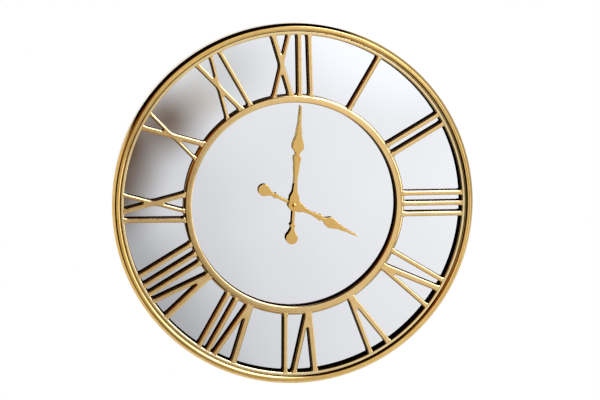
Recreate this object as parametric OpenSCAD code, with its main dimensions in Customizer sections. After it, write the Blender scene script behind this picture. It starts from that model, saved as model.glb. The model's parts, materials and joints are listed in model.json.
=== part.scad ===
// Openwork Roman numeral wall clock with a mirror dial and a quartz movement.
// Millimetres. +Z is up, the front faces -Y and the wall is the plane Y = 0.
// The origin is the entry hole of the keyhole hanger, on the wall plane.

/* [Rim] */
// Outside diameter of the rim
rim_d = 605; // [485:5:800]
// Depth from the wall to the crest of the moulding
rim_depth = 46; // [46:1:70]
// Thickness of the rolled outer wall
rim_wall = 2.6; // [1.6:0.2:3]
// Width of the front moulding, from its groove to its slope
bead_w = 8.6; // [7.8:0.2:9.6]
// Width of the slope outside the front moulding
edge_w = 4.3; // [3.9:0.1:4.9]

/* [Numeral band] */
// Width of the lip that carries the outer ends of the numerals
lip_w = 5.5; // [4:0.5:10]
// Radial height of the numerals
numeral_h = 98.5; // [70:0.5:110]
// Width of the inner ring
ring_w = 13.5; // [8:0.5:20]
// Thickness of the ring and the numerals, front to back
band_t = 5.5; // [4:0.5:8]
// Gap between the mirror and the front of the numerals
dial_gap = 15.5; // [15:0.5:18]

/* [Numeral strokes] */
// Width of an upright stroke
bar_w = 7.7; // [5:0.1:9]
// Distance between the middles of two upright strokes
stroke_pitch = 17.5; // [15:0.5:18]
// Width of the heavy stroke of a V
v_heavy_w = 9.6; // [6:0.1:11]
// Width of the fine stroke of a V
v_fine_w = 7.9; // [5:0.1:9]
// Distance between the outer ends of the strokes of a V
v_spread = 35.5; // [24:0.5:37]
// Distance between the inner ends of the strokes of a V
v_foot = 3.6; // [2:0.2:6]
// Width of the heavy stroke of an X
x_heavy_w = 8.6; // [5:0.1:9]
// Width of the fine stroke of an X
x_fine_w = 6.0; // [4:0.1:8]
// Distance between the ends of the strokes of an X
x_spread = 26.5; // [20:0.5:28]

/* [Mirror and back] */
// Thickness of the mirror glass
mirror_t = 3; // [2:0.5:3]
// Thickness of the fibreboard back panel
panel_t = 4; // [3:0.5:4]
// Number of lugs that hold the back panel
lug_count = 6; // [6:6:12]
// Diameter of the entry hole of the keyhole
key_d = 10; // [8:0.5:12]
// Width of the slot of the keyhole
key_slot_w = 5; // [4:0.5:5]

/* [Hands] */
// Gap between the tip of the minute hand and the inner ring
minute_tip_gap = 5.5; // [3:0.5:40]
// How much shorter the hour hand is than the minute hand
hour_short = 46; // [20:1:60]
// Width of the spade of the minute hand
minute_spade_w = 19.2; // [12:0.2:24]
// Width of the spade of the hour hand
hour_spade_w = 18; // [12:0.2:24]
// Thickness of the sheet of both hands
hand_t = 1; // [0.8:0.1:1.4]
// Radius of the round counterweight of both hands
weight_r = 10; // [7:0.5:11]
// Minute hand at rest, degrees clockwise from the top
minute_angle = 3.8; // [0:0.1:360]
// Hour hand at rest, degrees clockwise from the top
hour_angle = 116.5; // [0:0.1:360]

/* [Movement] */
// Width and height of the movement case
case_w = 56; // [56:1:64]
// Wall thickness of the movement case
case_wall = 1.2; // [1:0.1:1.3]
// Diameter of the battery
battery_d = 14.5; // [13.5:0.1:14.5]
// Diameter of the threaded bush
bush_d = 8; // [7:0.5:9]
// Diameter of the setting knob
knob_d = 13; // [9:0.5:16]

/* [Hidden] */
$fn = 96;
eps = 0.01;
gold = [0.85, 0.70, 0.45];
bright_gold = [0.87, 0.70, 0.38];
brass = [0.80, 0.66, 0.35];
steel = [0.72, 0.72, 0.70];
mirror_grey = [0.88, 0.90, 0.92];
board_brown = [0.55, 0.42, 0.28];
case_black = [0.12, 0.12, 0.13];
nylon_white = [0.90, 0.89, 0.84];
rubber_black = [0.08, 0.08, 0.08];
copper = [0.72, 0.38, 0.20];
board_green = [0.16, 0.38, 0.22];

// Radii of the dial, outside in
rim_r = rim_d / 2;
rim_in = rim_r - rim_wall;
skirt_t = 2.5;
groove_w = 0.6;
flank_start = rim_r - edge_w - bead_w;
groove_r = flank_start - groove_w;
lip_in = groove_r - lip_w;
ring_out = lip_in - numeral_h;
ring_in = ring_out - ring_w;
mirror_r = groove_r - 2.5;
minute_len = ring_in - minute_tip_gap;
hour_len = minute_len - hour_short;
ring_dome = 19;
ring_crown = ring_w * 0.39;
bar_dome = 8;

// The moulding's faces, by their lean outwards in degrees
flank_lean = -55;
face_lean = 4;
slope_lean = 48;
skirting_lean = 57;
flank_w = 4.4;
turn_r = 2.2;
turn_w = turn_r * (sin(slope_lean) - sin(face_lean));
lip_lean = -60;
lip_face_lean = 4;
lip_edge_lean = 50;
lip_round = 2.2;
lip_turn = 0.9;
lip_over = groove_w / 2;

// Depths of the dial, as distances in front of the wall
front = rim_depth - 3.5;
shoulder = front - 2;
web_t = 2.5;
skirt_back = shoulder - 7.5;
band_back = front - band_t;
mirror_front = front - dial_gap;
mirror_back = mirror_front - mirror_t;
panel_back = mirror_back - panel_t;
lip_wall_t = 2;

// Panel lugs, their screws and the hanger
lug_t = 1.6;
lug_w = 16;
lug_reach = 32.5;
lug_leg = 12;
lug_screw_r = rim_in - lug_reach + 9;
screw_r = 1.5;
screw_head_r = 3;
screw_head_t = 1.6;
screw_grip = panel_t - 0.8;
hanger_inset = 36.5;
hang_r = rim_r - hanger_inset;
hanger_w = 44;
hanger_t = 1.6;
key_rise = 11;
hanger_foot = key_d / 2 + 8;

// Hardware of the centre fixing
rubber_t = 1;
washer_t = 0.8;
nut_t = 3;
nut_flats = bush_d + 5;
washer_r = bush_d / 2 + 6;
rubber_r = bush_d / 2 + 8;
bush_r = bush_d / 2;
bush_front = mirror_front + washer_t + nut_t + 0.7;

// Hands on the front of the dial
hour_z = mirror_front + 7.6;
minute_z = mirror_front + 11.7;
hub_r = 10;
boss_r = 4.4;
boss_t = 1;
tail_at = 56;
hand_step = 2;

// Movement case
case_front = panel_back - rubber_t;
case_d = 15.5;
case_back = case_front - case_d;
plate_in = case_front - case_wall;
cover_in = case_back + case_wall;
case_split = case_back + 5.5;
case_top = 26;
case_foot = case_top - case_w;
case_half = case_w / 2;
bay_top = -12;
bay_wall = 1;

// Battery and its contacts
battery_r = battery_d / 2;
battery_gap = 0.15;
battery_y = bay_top - bay_wall - 0.4 - battery_r;
battery_z = plate_in - battery_gap - battery_r;
battery_len = 50.4;
battery_end = case_half - case_wall - 1.1;
nub_r = 2.75;
nub_len = 1;
contact_t = 0.5;
contact_gap = 0.1;

// Axes of the train, seen from the front
minute_work_dist = 13.5;
third_dist = 10.2;
inter_dist = 10.2;
rotor_dist = 6;
minute_work_dir = 90;
third_dir = 180;
inter_dir = 20;
function polar(r, a) = [r * cos(a), r * sin(a)];
minute_work_at = polar(minute_work_dist, minute_work_dir);
third_at = polar(third_dist, third_dir);
inter_at = polar(inter_dist, inter_dir);
rotor_at = polar(inter_dist + rotor_dist, inter_dir);

// Tooth counts of the motion work and the going train
cannon_teeth = 15;
minute_work_teeth = 45;
minute_pinion_teeth = 12;
hour_teeth = 48;
clutch_teeth = 64;
third_teeth = 60;
seconds_teeth = 60;
inter_teeth = 32;
leaf_teeth = 8;
function pair_module(dist, a, b) = 2 * dist / (a + b);
cannon_m = pair_module(minute_work_dist, cannon_teeth, minute_work_teeth);
hour_m = pair_module(minute_work_dist, minute_pinion_teeth, hour_teeth);
clutch_m = pair_module(third_dist, leaf_teeth, clutch_teeth);
third_m = pair_module(third_dist, leaf_teeth, third_teeth);
seconds_m = pair_module(inter_dist, leaf_teeth, seconds_teeth);
inter_m = pair_module(rotor_dist, leaf_teeth, inter_teeth);

// Layers of the train, measured back from the front plate of the case
wheel_t = 0.8;
pinion_t = 1.8;
hour_wheel_z = plate_in - 2.1;
minute_pinion_z = plate_in - 2.6;
minute_work_z = plate_in - 3.7;
cannon_z = plate_in - 4;
cannon_t = 1.4;
train_plate_z = plate_in - 5.1;
train_plate_t = 0.8;
clutch_z = plate_in - 6.7;
third_pinion_z = plate_in - 7.2;
third_z = plate_in - 8.5;
seconds_pinion_z = plate_in - 9;
seconds_z = plate_in - 10.2;
inter_pinion_z = plate_in - 10.6;
inter_z = plate_in - 11.8;
rotor_pinion_z = plate_in - 12.3;
magnet_z = plate_in - 9.8;
magnet_t = 2.5;
magnet_r = 3;
stator_z = magnet_z + 0.8;
stator_t = 0.8;

// Shafts and their running clearances
arbor_r = 0.5;
run = 0.05;
pivot_depth = 0.8;
pivot_back = cover_in - pivot_depth + 0.1;
minute_shaft_r = 1.5;
hour_pipe_in = minute_shaft_r + run;
hour_pipe_out = 2.4;
minute_shaft_back = clutch_z - 0.2;
minute_shaft_front = minute_z + hand_t + 2.2;
hour_pipe_front = hour_z + hand_t + 0.6;
knob_stem_r = 2;
knob_t = 2;
knob_gap = 0.3;

// Drive coil, board and posts, beside and above the train
core_x = 22;
core_w = 2.4;
coil_y = 5;
coil_len = 15;
bobbin_w = 6;
bobbin_wall = 0.6;
flange_t = 1;
yoke_x = 11.6;
yoke_w = 6.8;
yoke_foot = -8;
yoke_top = 18;
arm_h = 4;
core_gap = 0.05;
board_at = [-25.6, 13.6];
board_size = [20, 10];
board_t = 1;
board_z = cover_in + 1.3;
post_r = 1.5;
post_x = case_half - 3.6;

// Glyphs of each numeral: letter, offset of its middle to the right, and how far its outer
// end leans to the right of its inner end, both as shares of the stroke pitch
numerals = [
    [["I", -0.06, 0]],
    [["I", -0.55, -0.1], ["I", 0.45, -0.1]],
    [["I", -1.1, -0.05], ["I", -0.1, -0.05], ["I", 0.91, -0.05]],
    [["I", -0.83, 0.06], ["V", 1.03, 0.2]],
    [["V", -0.27, 0]],
    [["V", -1.22, 0.31], ["I", 0.83, 0]],
    [["V", -1.35, -0.4], ["I", 0.25, -0.08], ["I", 1.19, -0.09]],
    [["V", -1.93, -0.43], ["I", -0.27, -0.14], ["I", 0.68, -0.16], ["I", 1.7, -0.13]],
    [["I", -1.33, 0], ["X", 0.32, 0]],
    [["X", -0.01, 0.05]],
    [["X", -0.6, 0], ["I", 1.12, 0]],
    [["X", -1.26, -0.19], ["I", 0.4, -0.11], ["I", 1.42, -0.22]]
];

// Stations along a hand, from the tip to the pivot: distance from the pivot as a share of the
// hand's length, and width as a share of the spade's width
minute_stations = [[1, 0.13], [0.84, 0.22], [0.73, 0.43], [0.585, 1], [0.51, 0.3], [0.48, 0.63],
    [0.4, 0.45], [0.25, 0.26], [0.15, 0.38], [0.07, 0.84], [0, 1]];
hour_stations = [[1, 0.13], [0.85, 0.24], [0.735, 0.44], [0.567, 1], [0.454, 0.32], [0.42, 0.56],
    [0.361, 0.4], [0.263, 0.29], [0.176, 0.4], [0.088, 0.89], [0, 1.07]];

// Stations along the tail of a hand, from the pivot: distance as a share of the way to the middle
// of the counterweight, and width as a share of its diameter
tail_stations = [[0, 0.23], [-0.54, 0.23], [-0.62, 0.48], [-0.68, 0.26], [-0.73, 0.3], [-0.86, 0.6]];

// Moves a piece drawn with x to the right, y up and z out from the wall into the part's frame
module seat() {
    translate([0, 0, -hang_r]) rotate([90, 0, 0]) children();
}

module tube(r_out, r_in, z, h) {
    translate([0, 0, z]) difference() {
        cylinder(r = r_out, h = h);
        translate([0, 0, -1]) cylinder(r = r_in, h = h + 2);
    }
}

module disc(r, z, h, at = [0, 0]) {
    translate([at[0], at[1], z]) cylinder(r = r, h = h);
}

module block(x0, x1, y0, y1, z0, z1) {
    translate([x0, y0, z0]) cube([x1 - x0, y1 - y0, z1 - z0]);
}

// A section of the given width with a flat back and a domed front
module domed_section(w, t, dome_r) {
    intersection() {
        translate([-w / 2, 0]) square([w, t]);
        translate([0, t - dome_r]) circle(r = dome_r);
    }
}

// Rim and numeral band
module side_band() {
    color(gold) seat() tube(rim_r, rim_in, 0, shoulder - web_t, $fn = 240);
}

// Points of a section's curve from a start, by the lean of its face outwards in degrees
function bend(start, r, lean0, lean1, steps) = [for (i = [0 : steps])
    let (lean = lean0 + (lean1 - lean0) * i / steps)
    start + r * [sin(lean) - sin(lean0), cos(lean) - cos(lean0)]];

// Radius of a curve of the given width between two leans
function bend_r(w, lean0, lean1) = w / (sin(lean1) - sin(lean0));

function last(points) = points[len(points) - 1];

module bezel() {
    flank_r = bend_r(flank_w, flank_lean, 0);
    flank = bend([flank_start, rim_depth - flank_r * (1 - cos(flank_lean))], flank_r, flank_lean, 0, 12);
    face = bend(last(flank), bend_r(bead_w - flank_w - turn_w, 0, face_lean), 0, face_lean, 2);
    turn = bend(last(face), turn_r, face_lean, slope_lean, 6);
    slope = bend(last(turn), bend_r(edge_w, slope_lean, skirting_lean), slope_lean, skirting_lean, 4);
    web = shoulder - web_t;
    color(gold) seat() rotate_extrude($fn = 240) polygon(concat(
        [[groove_r, skirt_back], [groove_r, shoulder], [flank_start, shoulder]],
        flank, face, turn, slope,
        [[rim_r, web], [groove_r + skirt_t, web], [groove_r + skirt_t, skirt_back]]));
}

module lip_ring() {
    rounded = bend([lip_in, front - lip_round * (1 - cos(lip_lean))], lip_round, lip_lean, -lip_face_lean, 6);
    turn_w = lip_turn * (sin(lip_edge_lean) - sin(lip_face_lean));
    face_w = groove_r + lip_over - turn_w - last(rounded)[0];
    face = bend(last(rounded), bend_r(face_w, -lip_face_lean, lip_face_lean), -lip_face_lean, lip_face_lean, 4);
    turn = bend(last(face), lip_turn, lip_face_lean, lip_edge_lean, 4);
    step = shoulder + 0.1;
    color(gold) seat() rotate_extrude($fn = 240) polygon(concat(
        [[lip_in, mirror_front]], rounded, face, turn,
        [[groove_r + lip_over, step], [groove_r, step], [groove_r, band_back],
         [lip_in + lip_wall_t, band_back], [lip_in + lip_wall_t, mirror_front]]));
}

module inner_ring() {
    lean = asin(ring_crown / ring_dome);
    rise = asin((ring_w - ring_crown) / ring_dome);
    dome = bend([ring_in, front - ring_dome * (1 - cos(lean))], ring_dome, -lean, rise, 10);
    color(gold) seat() rotate_extrude($fn = 240)
        polygon(concat([[ring_in, band_back]], dome, [[ring_out, band_back]]));
}

// A bar from the inner ring to the lip, long enough at both ends to be trimmed to them
module stroke(outer, inner, w) {
    spare = 12;
    lean = atan2(outer - inner, numeral_h);
    length = norm([outer - inner, numeral_h]) + 2 * spare;
    translate([inner, ring_out, band_back]) rotate([0, 0, -lean])
        translate([0, length - spare, 0]) rotate([90, 0, 0])
            linear_extrude(length) domed_section(w, band_t, bar_dome);
}

module glyph(letter, middle, lean) {
    top = (middle + lean / 2) * stroke_pitch;
    foot = (middle - lean / 2) * stroke_pitch;
    if (letter == "I") stroke(top, foot, bar_w);
    if (letter == "V") {
        stroke(top - v_spread / 2, foot - v_foot / 2, v_heavy_w);
        stroke(top + v_spread / 2, foot + v_foot / 2, v_fine_w);
    }
    if (letter == "X") {
        stroke(top - x_spread / 2, foot + x_spread / 2, x_heavy_w);
        stroke(top + x_spread / 2, foot - x_spread / 2, x_fine_w);
    }
}

module numeral(hour) {
    color(gold) seat() intersection() {
        rotate([0, 0, -30 * hour])
            for (entry = numerals[hour - 1]) glyph(entry[0], entry[1], entry[2]);
        tube(lip_in, ring_out, band_back - 1, band_t + 2, $fn = 240);
    }
}

// Mirror, back panel and what holds them
module mirror_glass() {
    color(mirror_grey) seat() tube(mirror_r, bush_r + 0.5, mirror_back, mirror_t, $fn = 240);
}

module around_lugs() {
    for (i = [0:lug_count - 1]) rotate([0, 0, i * 360 / lug_count]) children();
}

module back_panel() {
    color(board_brown) seat() difference() {
        tube(mirror_r, bush_r + 0.2, panel_back, panel_t, $fn = 240);
        around_lugs() disc(screw_r, panel_back - 1, screw_grip + 1, [lug_screw_r, 0]);
    }
}

module lug() {
    difference() {
        intersection() {
            union() {
                block(rim_in - lug_reach, rim_r, -lug_w / 2, lug_w / 2, panel_back - lug_t, panel_back);
                intersection() {
                    block(rim_r / 2, rim_r, -lug_w / 2, lug_w / 2, panel_back - lug_leg, panel_back);
                    tube(rim_r, rim_in - lug_t, panel_back - lug_leg, lug_leg, $fn = 240);
                }
            }
            cylinder(r = rim_in, h = rim_depth, $fn = 240);
        }
        disc(screw_r + 0.1, panel_back - lug_t - 1, lug_t + 2, [lug_screw_r, 0]);
    }
}

module panel_lugs() {
    color(steel) seat() around_lugs() lug();
}

module lug_screws() {
    head_z = panel_back - lug_t - screw_head_t;
    color(steel) seat() around_lugs() translate([lug_screw_r, 0, 0]) difference() {
        union() {
            disc(screw_r, panel_back - lug_t - eps, lug_t + screw_grip + eps);
            disc(screw_head_r, head_z, screw_head_t);
        }
        for (turn = [0, 90]) rotate([0, 0, turn])
            block(-1.9, 1.9, -0.4, 0.4, head_z - 1, head_z + 0.8);
    }
}

module hanger_plate() {
    foot = hang_r - hanger_foot;
    color(steel) seat() difference() {
        intersection() {
            union() {
                block(-hanger_w / 2, hanger_w / 2, foot, rim_r, 0, hanger_t);
                intersection() {
                    block(-hanger_w / 2, hanger_w / 2, foot, rim_r, 0, lug_leg);
                    tube(rim_r, rim_in - hanger_t, 0, lug_leg, $fn = 240);
                }
            }
            cylinder(r = rim_in, h = lug_leg, $fn = 240);
        }
        disc(key_d / 2, -1, hanger_t + 2, [0, hang_r]);
        disc(key_slot_w / 2, -1, hanger_t + 2, [0, hang_r + key_rise]);
        block(-key_slot_w / 2, key_slot_w / 2, hang_r, hang_r + key_rise, -1, hanger_t + 1);
    }
}

// Centre fixing
module rubber_washer() {
    color(rubber_black) seat() tube(rubber_r, bush_r + 0.1, panel_back - rubber_t, rubber_t);
}

module flat_washer() {
    color(brass) seat() tube(washer_r, bush_r + 0.2, mirror_front, washer_t);
}

module hex_nut() {
    color(brass) seat() translate([0, 0, mirror_front + washer_t]) difference() {
        cylinder(d = nut_flats / cos(30), h = nut_t, $fn = 6);
        translate([0, 0, -1]) cylinder(r = bush_r, h = nut_t + 2);
    }
}

// Hands: each side of the outline eases from one station to the next
function ease(t) = t * t * (3 - 2 * t);
function side(stations, length, width) = [
    for (i = [0:len(stations) - 2])
        let (a = stations[i], b = stations[i + 1], n = ceil(abs(b[0] - a[0]) * length / hand_step))
            for (k = [0:n - 1]) [(a[1] + (b[1] - a[1]) * ease(k / n)) * width / 2,
                (a[0] + (b[0] - a[0]) * k / n) * length],
    [stations[len(stations) - 1][1] * width / 2, stations[len(stations) - 1][0] * length]
];

module taper(stations, length, width) {
    right = side(stations, length, width);
    left = [for (i = [len(right) - 1:-1:0]) [-right[i][0], right[i][1]]];
    polygon(concat(right, left));
}

module hand(angle, z, length, width, stations, bore_r) {
    rotate([0, 0, -angle]) difference() {
        union() {
            translate([0, 0, z]) linear_extrude(hand_t) {
                taper(stations, length, width);
                taper(tail_stations, tail_at, 2 * weight_r);
                circle(r = hub_r);
                translate([0, -tail_at]) circle(r = weight_r);
            }
            disc(boss_r, z - boss_t, boss_t + eps);
        }
        disc(bore_r, z - boss_t - 1, hand_t + boss_t + 2);
    }
}

module hour_hand() {
    color(bright_gold) seat()
        hand(hour_angle, hour_z, hour_len, hour_spade_w, hour_stations, hour_pipe_out);
}

module minute_hand() {
    color(bright_gold) seat()
        hand(minute_angle, minute_z, minute_len, minute_spade_w, minute_stations, minute_shaft_r);
}

module hand_nut() {
    nut_r = 3.6;
    base_t = 1.4;
    color(bright_gold) seat() translate([0, 0, minute_z + hand_t]) difference() {
        union() {
            cylinder(r = nut_r, h = base_t);
            translate([0, 0, base_t - eps]) cylinder(r1 = nut_r - 0.6, r2 = 1.9, h = 1.4);
        }
        translate([0, 0, -1]) cylinder(r = minute_shaft_r, h = 3.2);
    }
}

// Movement case
module movement_case() {
    in = case_half - case_wall;
    color(case_black) seat() difference() {
        union() {
            difference() {
                union() {
                    block(-case_half, case_half, bay_top, case_top, case_split, case_front);
                    block(-case_half, case_half, case_foot, bay_top, case_back, case_front);
                }
                block(-in, in, bay_top, case_top - case_wall, case_split - 1, plate_in);
                block(-in, in, case_foot + case_wall, bay_top - bay_wall, case_back - 1, plate_in);
            }
            for (x = [-post_x, post_x], y = [bay_top + 2.6, case_top - 3.6])
                disc(post_r, train_plate_z + train_plate_t, plate_in - train_plate_z, [x, y]);
        }
        disc(bush_r, plate_in - 1, case_wall + 2);
        disc(arbor_r + run, plate_in - 1, pivot_depth + 1, minute_work_at);
    }
}

module threaded_bush() {
    color(brass) seat() tube(bush_r, hour_pipe_out + run, plate_in, bush_front - plate_in);
}

module rear_cover() {
    in = case_half - case_wall;
    color(case_black) seat() difference() {
        union() {
            difference() {
                block(-case_half, case_half, bay_top, case_top, case_back, case_split);
                block(-in, in, bay_top + case_wall, case_top - case_wall, cover_in, case_split + 1);
            }
            for (x = [3, board_size[0] - 3])
                disc(post_r, cover_in - eps, board_z - cover_in + eps, board_at + [x, board_size[1] / 2]);
        }
        for (at = [[0, 0], third_at, inter_at, rotor_at])
            disc(arbor_r + run, cover_in - pivot_depth, pivot_depth + 1, at);
        disc(knob_stem_r + run, case_back - 1, case_wall + 2, minute_work_at);
    }
}

module train_plate() {
    in = case_half - case_wall - 0.2;
    color(nylon_white) seat() difference() {
        block(-in, in, bay_top + 0.2, case_top - case_wall - 0.2, train_plate_z,
            train_plate_z + train_plate_t);
        disc(minute_shaft_r + run, train_plate_z - 1, train_plate_t + 2);
        disc(knob_stem_r + run, train_plate_z - 1, train_plate_t + 2, minute_work_at);
        for (at = [third_at, inter_at, rotor_at])
            disc(arbor_r + run, train_plate_z - 1, train_plate_t + 2, at);
    }
}

// Toothed wheel: slim straight-sided teeth with working backlash
module gear(teeth, m, z, h, at = [0, 0], phase = 0) {
    pitch_r = teeth * m / 2;
    half = 360 / teeth * 0.19;
    corners = [[-half * 1.4, pitch_r - 1.25 * m], [-half * 0.45, pitch_r + 0.85 * m],
        [half * 0.45, pitch_r + 0.85 * m], [half * 1.4, pitch_r - 1.25 * m]];
    translate([at[0], at[1], z]) rotate([0, 0, phase]) linear_extrude(h)
        polygon([for (i = [0:teeth - 1], c = corners) polar(c[1], c[0] + i * 360 / teeth)]);
}

// Turn of a wheel that puts a gap of its teeth opposite a tooth of the wheel it meets
function mesh_phase(dir, teeth) = dir + 180 + 180 / teeth;

module arbor(at) {
    disc(arbor_r, pivot_back, train_plate_z + train_plate_t - pivot_back - 0.1, at);
}

module hour_wheel() {
    color(nylon_white) seat() difference() {
        union() {
            gear(hour_teeth, hour_m, hour_wheel_z, wheel_t, phase = minute_work_dir);
            disc(hour_pipe_out, hour_wheel_z, hour_pipe_front - hour_wheel_z);
        }
        disc(hour_pipe_in, hour_wheel_z - 1, hour_pipe_front - hour_wheel_z + 2);
    }
}

module minute_arbor() {
    color(brass) seat() difference() {
        union() {
            gear(cannon_teeth, cannon_m, cannon_z, cannon_t, phase = minute_work_dir);
            disc(minute_shaft_r, minute_shaft_back, minute_shaft_front - minute_shaft_back);
        }
        disc(arbor_r + run, minute_shaft_back - 1, train_plate_z - minute_shaft_back + 1);
    }
}

module minute_work_wheel() {
    color(nylon_white) seat() {
        gear(minute_work_teeth, cannon_m, minute_work_z, wheel_t, minute_work_at,
            mesh_phase(minute_work_dir, minute_work_teeth));
        gear(minute_pinion_teeth, hour_m, minute_pinion_z, pinion_t, minute_work_at,
            mesh_phase(minute_work_dir, minute_pinion_teeth));
        disc(arbor_r, minute_pinion_z, plate_in + pivot_depth - 0.1 - minute_pinion_z, minute_work_at);
        disc(knob_stem_r, case_back - knob_gap, minute_pinion_z - case_back + knob_gap, minute_work_at);
    }
}

module setting_knob() {
    grips = 18;
    z = case_back - knob_gap - knob_t;
    color(case_black) seat() translate([minute_work_at[0], minute_work_at[1], z]) difference() {
        cylinder(d = knob_d, h = knob_t);
        for (i = [0:grips - 1]) rotate([0, 0, i * 360 / grips])
            translate([knob_d / 2 + 0.3, 0, -1]) cylinder(r = 0.8, h = knob_t + 2, $fn = 24);
        translate([0, 0, -eps]) cylinder(d = knob_d * 0.4, h = 0.6);
    }
}

module clutch_wheel() {
    color(nylon_white) seat() difference() {
        gear(clutch_teeth, clutch_m, clutch_z, wheel_t, phase = third_dir);
        disc(minute_shaft_r + 0.02, clutch_z - 1, wheel_t + 2);
    }
}

module third_wheel() {
    color(nylon_white) seat() {
        gear(third_teeth, third_m, third_z, wheel_t, third_at, mesh_phase(third_dir, third_teeth));
        gear(leaf_teeth, clutch_m, third_z, third_pinion_z + pinion_t - third_z, third_at,
            mesh_phase(third_dir, leaf_teeth));
        arbor(third_at);
    }
}

module seconds_wheel() {
    color(nylon_white) seat() {
        gear(seconds_teeth, seconds_m, seconds_z, wheel_t, phase = inter_dir);
        gear(leaf_teeth, third_m, seconds_z, seconds_pinion_z + pinion_t - seconds_z, phase = third_dir);
        disc(arbor_r, pivot_back, train_plate_z - 0.3 - pivot_back);
    }
}

module intermediate_wheel() {
    color(nylon_white) seat() {
        gear(inter_teeth, inter_m, inter_z, wheel_t, inter_at, inter_dir);
        gear(leaf_teeth, seconds_m, inter_z, inter_pinion_z + pinion_t - inter_z, inter_at,
            mesh_phase(inter_dir, leaf_teeth));
        arbor(inter_at);
    }
}

module rotor() {
    color(steel) seat() {
        gear(leaf_teeth, inter_m, rotor_pinion_z, pinion_t, rotor_at, mesh_phase(inter_dir, leaf_teeth));
        disc(magnet_r, magnet_z, magnet_t, rotor_at);
        arbor(rotor_at);
    }
}

// Motor and electronics
module stator() {
    top = stator_z + stator_t;
    core_left = core_x - core_w / 2;
    core_right = core_x + core_w / 2;
    color(steel) seat() difference() {
        union() {
            block(yoke_x, yoke_x + yoke_w, yoke_foot, yoke_top, stator_z, top);
            block(core_left, core_right, yoke_foot, yoke_top, stator_z, top);
            for (y = [yoke_foot, yoke_top - arm_h]) block(yoke_x, core_right, y, y + arm_h, stator_z, top);
        }
        disc(magnet_r + 0.4, stator_z - 1, stator_t + 2, rotor_at);
    }
}

module coil_bobbin() {
    mid = stator_z + stator_t / 2;
    half = bobbin_w / 2;
    inner = core_w / 2 + bobbin_wall;
    foot = coil_y - coil_len / 2;
    color(nylon_white) seat() difference() {
        union() {
            block(core_x - inner, core_x + inner, foot, foot + coil_len, mid - 1.2, mid + 1.2);
            for (y = [foot, foot + coil_len - flange_t])
                block(core_x - half, core_x + half, y, y + flange_t, mid - half, train_plate_z);
        }
        block(core_x - core_w / 2 - core_gap, core_x + core_w / 2 + core_gap, foot - 1,
            foot + coil_len + 1, stator_z - core_gap, stator_z + stator_t + core_gap);
    }
}

module coil_winding() {
    mid = stator_z + stator_t / 2;
    half = bobbin_w / 2 - 0.4;
    inner = core_w / 2 + bobbin_wall;
    foot = coil_y - coil_len / 2 + flange_t;
    top = foot + coil_len - 2 * flange_t;
    color(copper) seat() difference() {
        block(core_x - half, core_x + half, foot, top, mid - half, mid + half);
        block(core_x - inner, core_x + inner, foot - 1, top + 1, mid - 1.2, mid + 1.2);
    }
}

module circuit_board() {
    color(board_green) seat()
        block(board_at[0], board_at[0] + board_size[0], board_at[1], board_at[1] + board_size[1],
            board_z, board_z + board_t);
}

module quartz_crystal() {
    can_r = 1;
    color(steel) seat()
        translate([board_at[0] + 2, board_at[1] + board_size[1] - 2, board_z + board_t + can_r])
            rotate([0, 90, 0]) cylinder(r = can_r, h = 6);
}

module timing_chip() {
    x = board_at[0] + 11;
    y = board_at[1] + 2;
    color(case_black) seat() block(x, x + 5, y, y + 4, board_z + board_t, board_z + board_t + 1);
}

// A contact strip with a pressed pad, on the wall at one end of the battery
module contact(side, pad_reach) {
    wall = case_half - case_wall;
    mirror([side < 0 ? 1 : 0, 0, 0]) {
        block(wall - contact_t, wall, battery_y - 4, battery_y + 4, battery_z - 5, battery_z + 5);
        translate([wall - pad_reach, battery_y, battery_z]) rotate([0, 90, 0])
            cylinder(r = 3, h = pad_reach - contact_t + eps);
    }
}

module positive_contact() {
    color(steel) seat() contact(1, 1.1 - contact_gap);
}

module negative_contact() {
    gap_left = 2 * (case_half - case_wall) - battery_len - 1.1;
    color(steel) seat() contact(-1, gap_left - contact_gap);
}

module battery() {
    color([0.20, 0.22, 0.25]) seat() translate([battery_end, battery_y, battery_z]) rotate([0, -90, 0]) {
        cylinder(r = nub_r, h = nub_len + eps);
        translate([0, 0, nub_len]) cylinder(r = battery_r, h = battery_len - nub_len);
    }
}

side_band();
bezel();
lip_ring();
inner_ring();
numeral(1);  // numeral_1
numeral(2);  // numeral_2
numeral(3);  // numeral_3
numeral(4);  // numeral_4
numeral(5);  // numeral_5
numeral(6);  // numeral_6
numeral(7);  // numeral_7
numeral(8);  // numeral_8
numeral(9);  // numeral_9
numeral(10);  // numeral_10
numeral(11);  // numeral_11
numeral(12);  // numeral_12
mirror_glass();
back_panel();
panel_lugs();
lug_screws();
hanger_plate();
rubber_washer();
flat_washer();
hex_nut();
hour_hand();
minute_hand();
hand_nut();
movement_case();
threaded_bush();
rear_cover();
train_plate();
stator();
coil_bobbin();
coil_winding();
rotor();
intermediate_wheel();
seconds_wheel();
third_wheel();
clutch_wheel();
minute_arbor();
minute_work_wheel();
setting_knob();
hour_wheel();
circuit_board();
quartz_crystal();
timing_chip();
positive_contact();
negative_contact();
battery();
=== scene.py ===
"""Looks of an openwork mirror wall clock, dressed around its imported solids.

Sizes are in millimetres on the dial: x to the right, y up from the centre of the
dial and d out from the wall. DIAL turns them into the part's frame in metres.
"""

from __future__ import annotations

import json
import logging
import math
from collections.abc import Callable, Iterable, Mapping, Sequence
from dataclasses import dataclass, field, replace
from enum import Enum
from functools import cache, partial

import bmesh
import bpy
import numpy as np
from bpy.types import Material, Mesh, Node, NodeSocket, NodeTree, Object, Scene
from mathutils import Matrix, Vector

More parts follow.
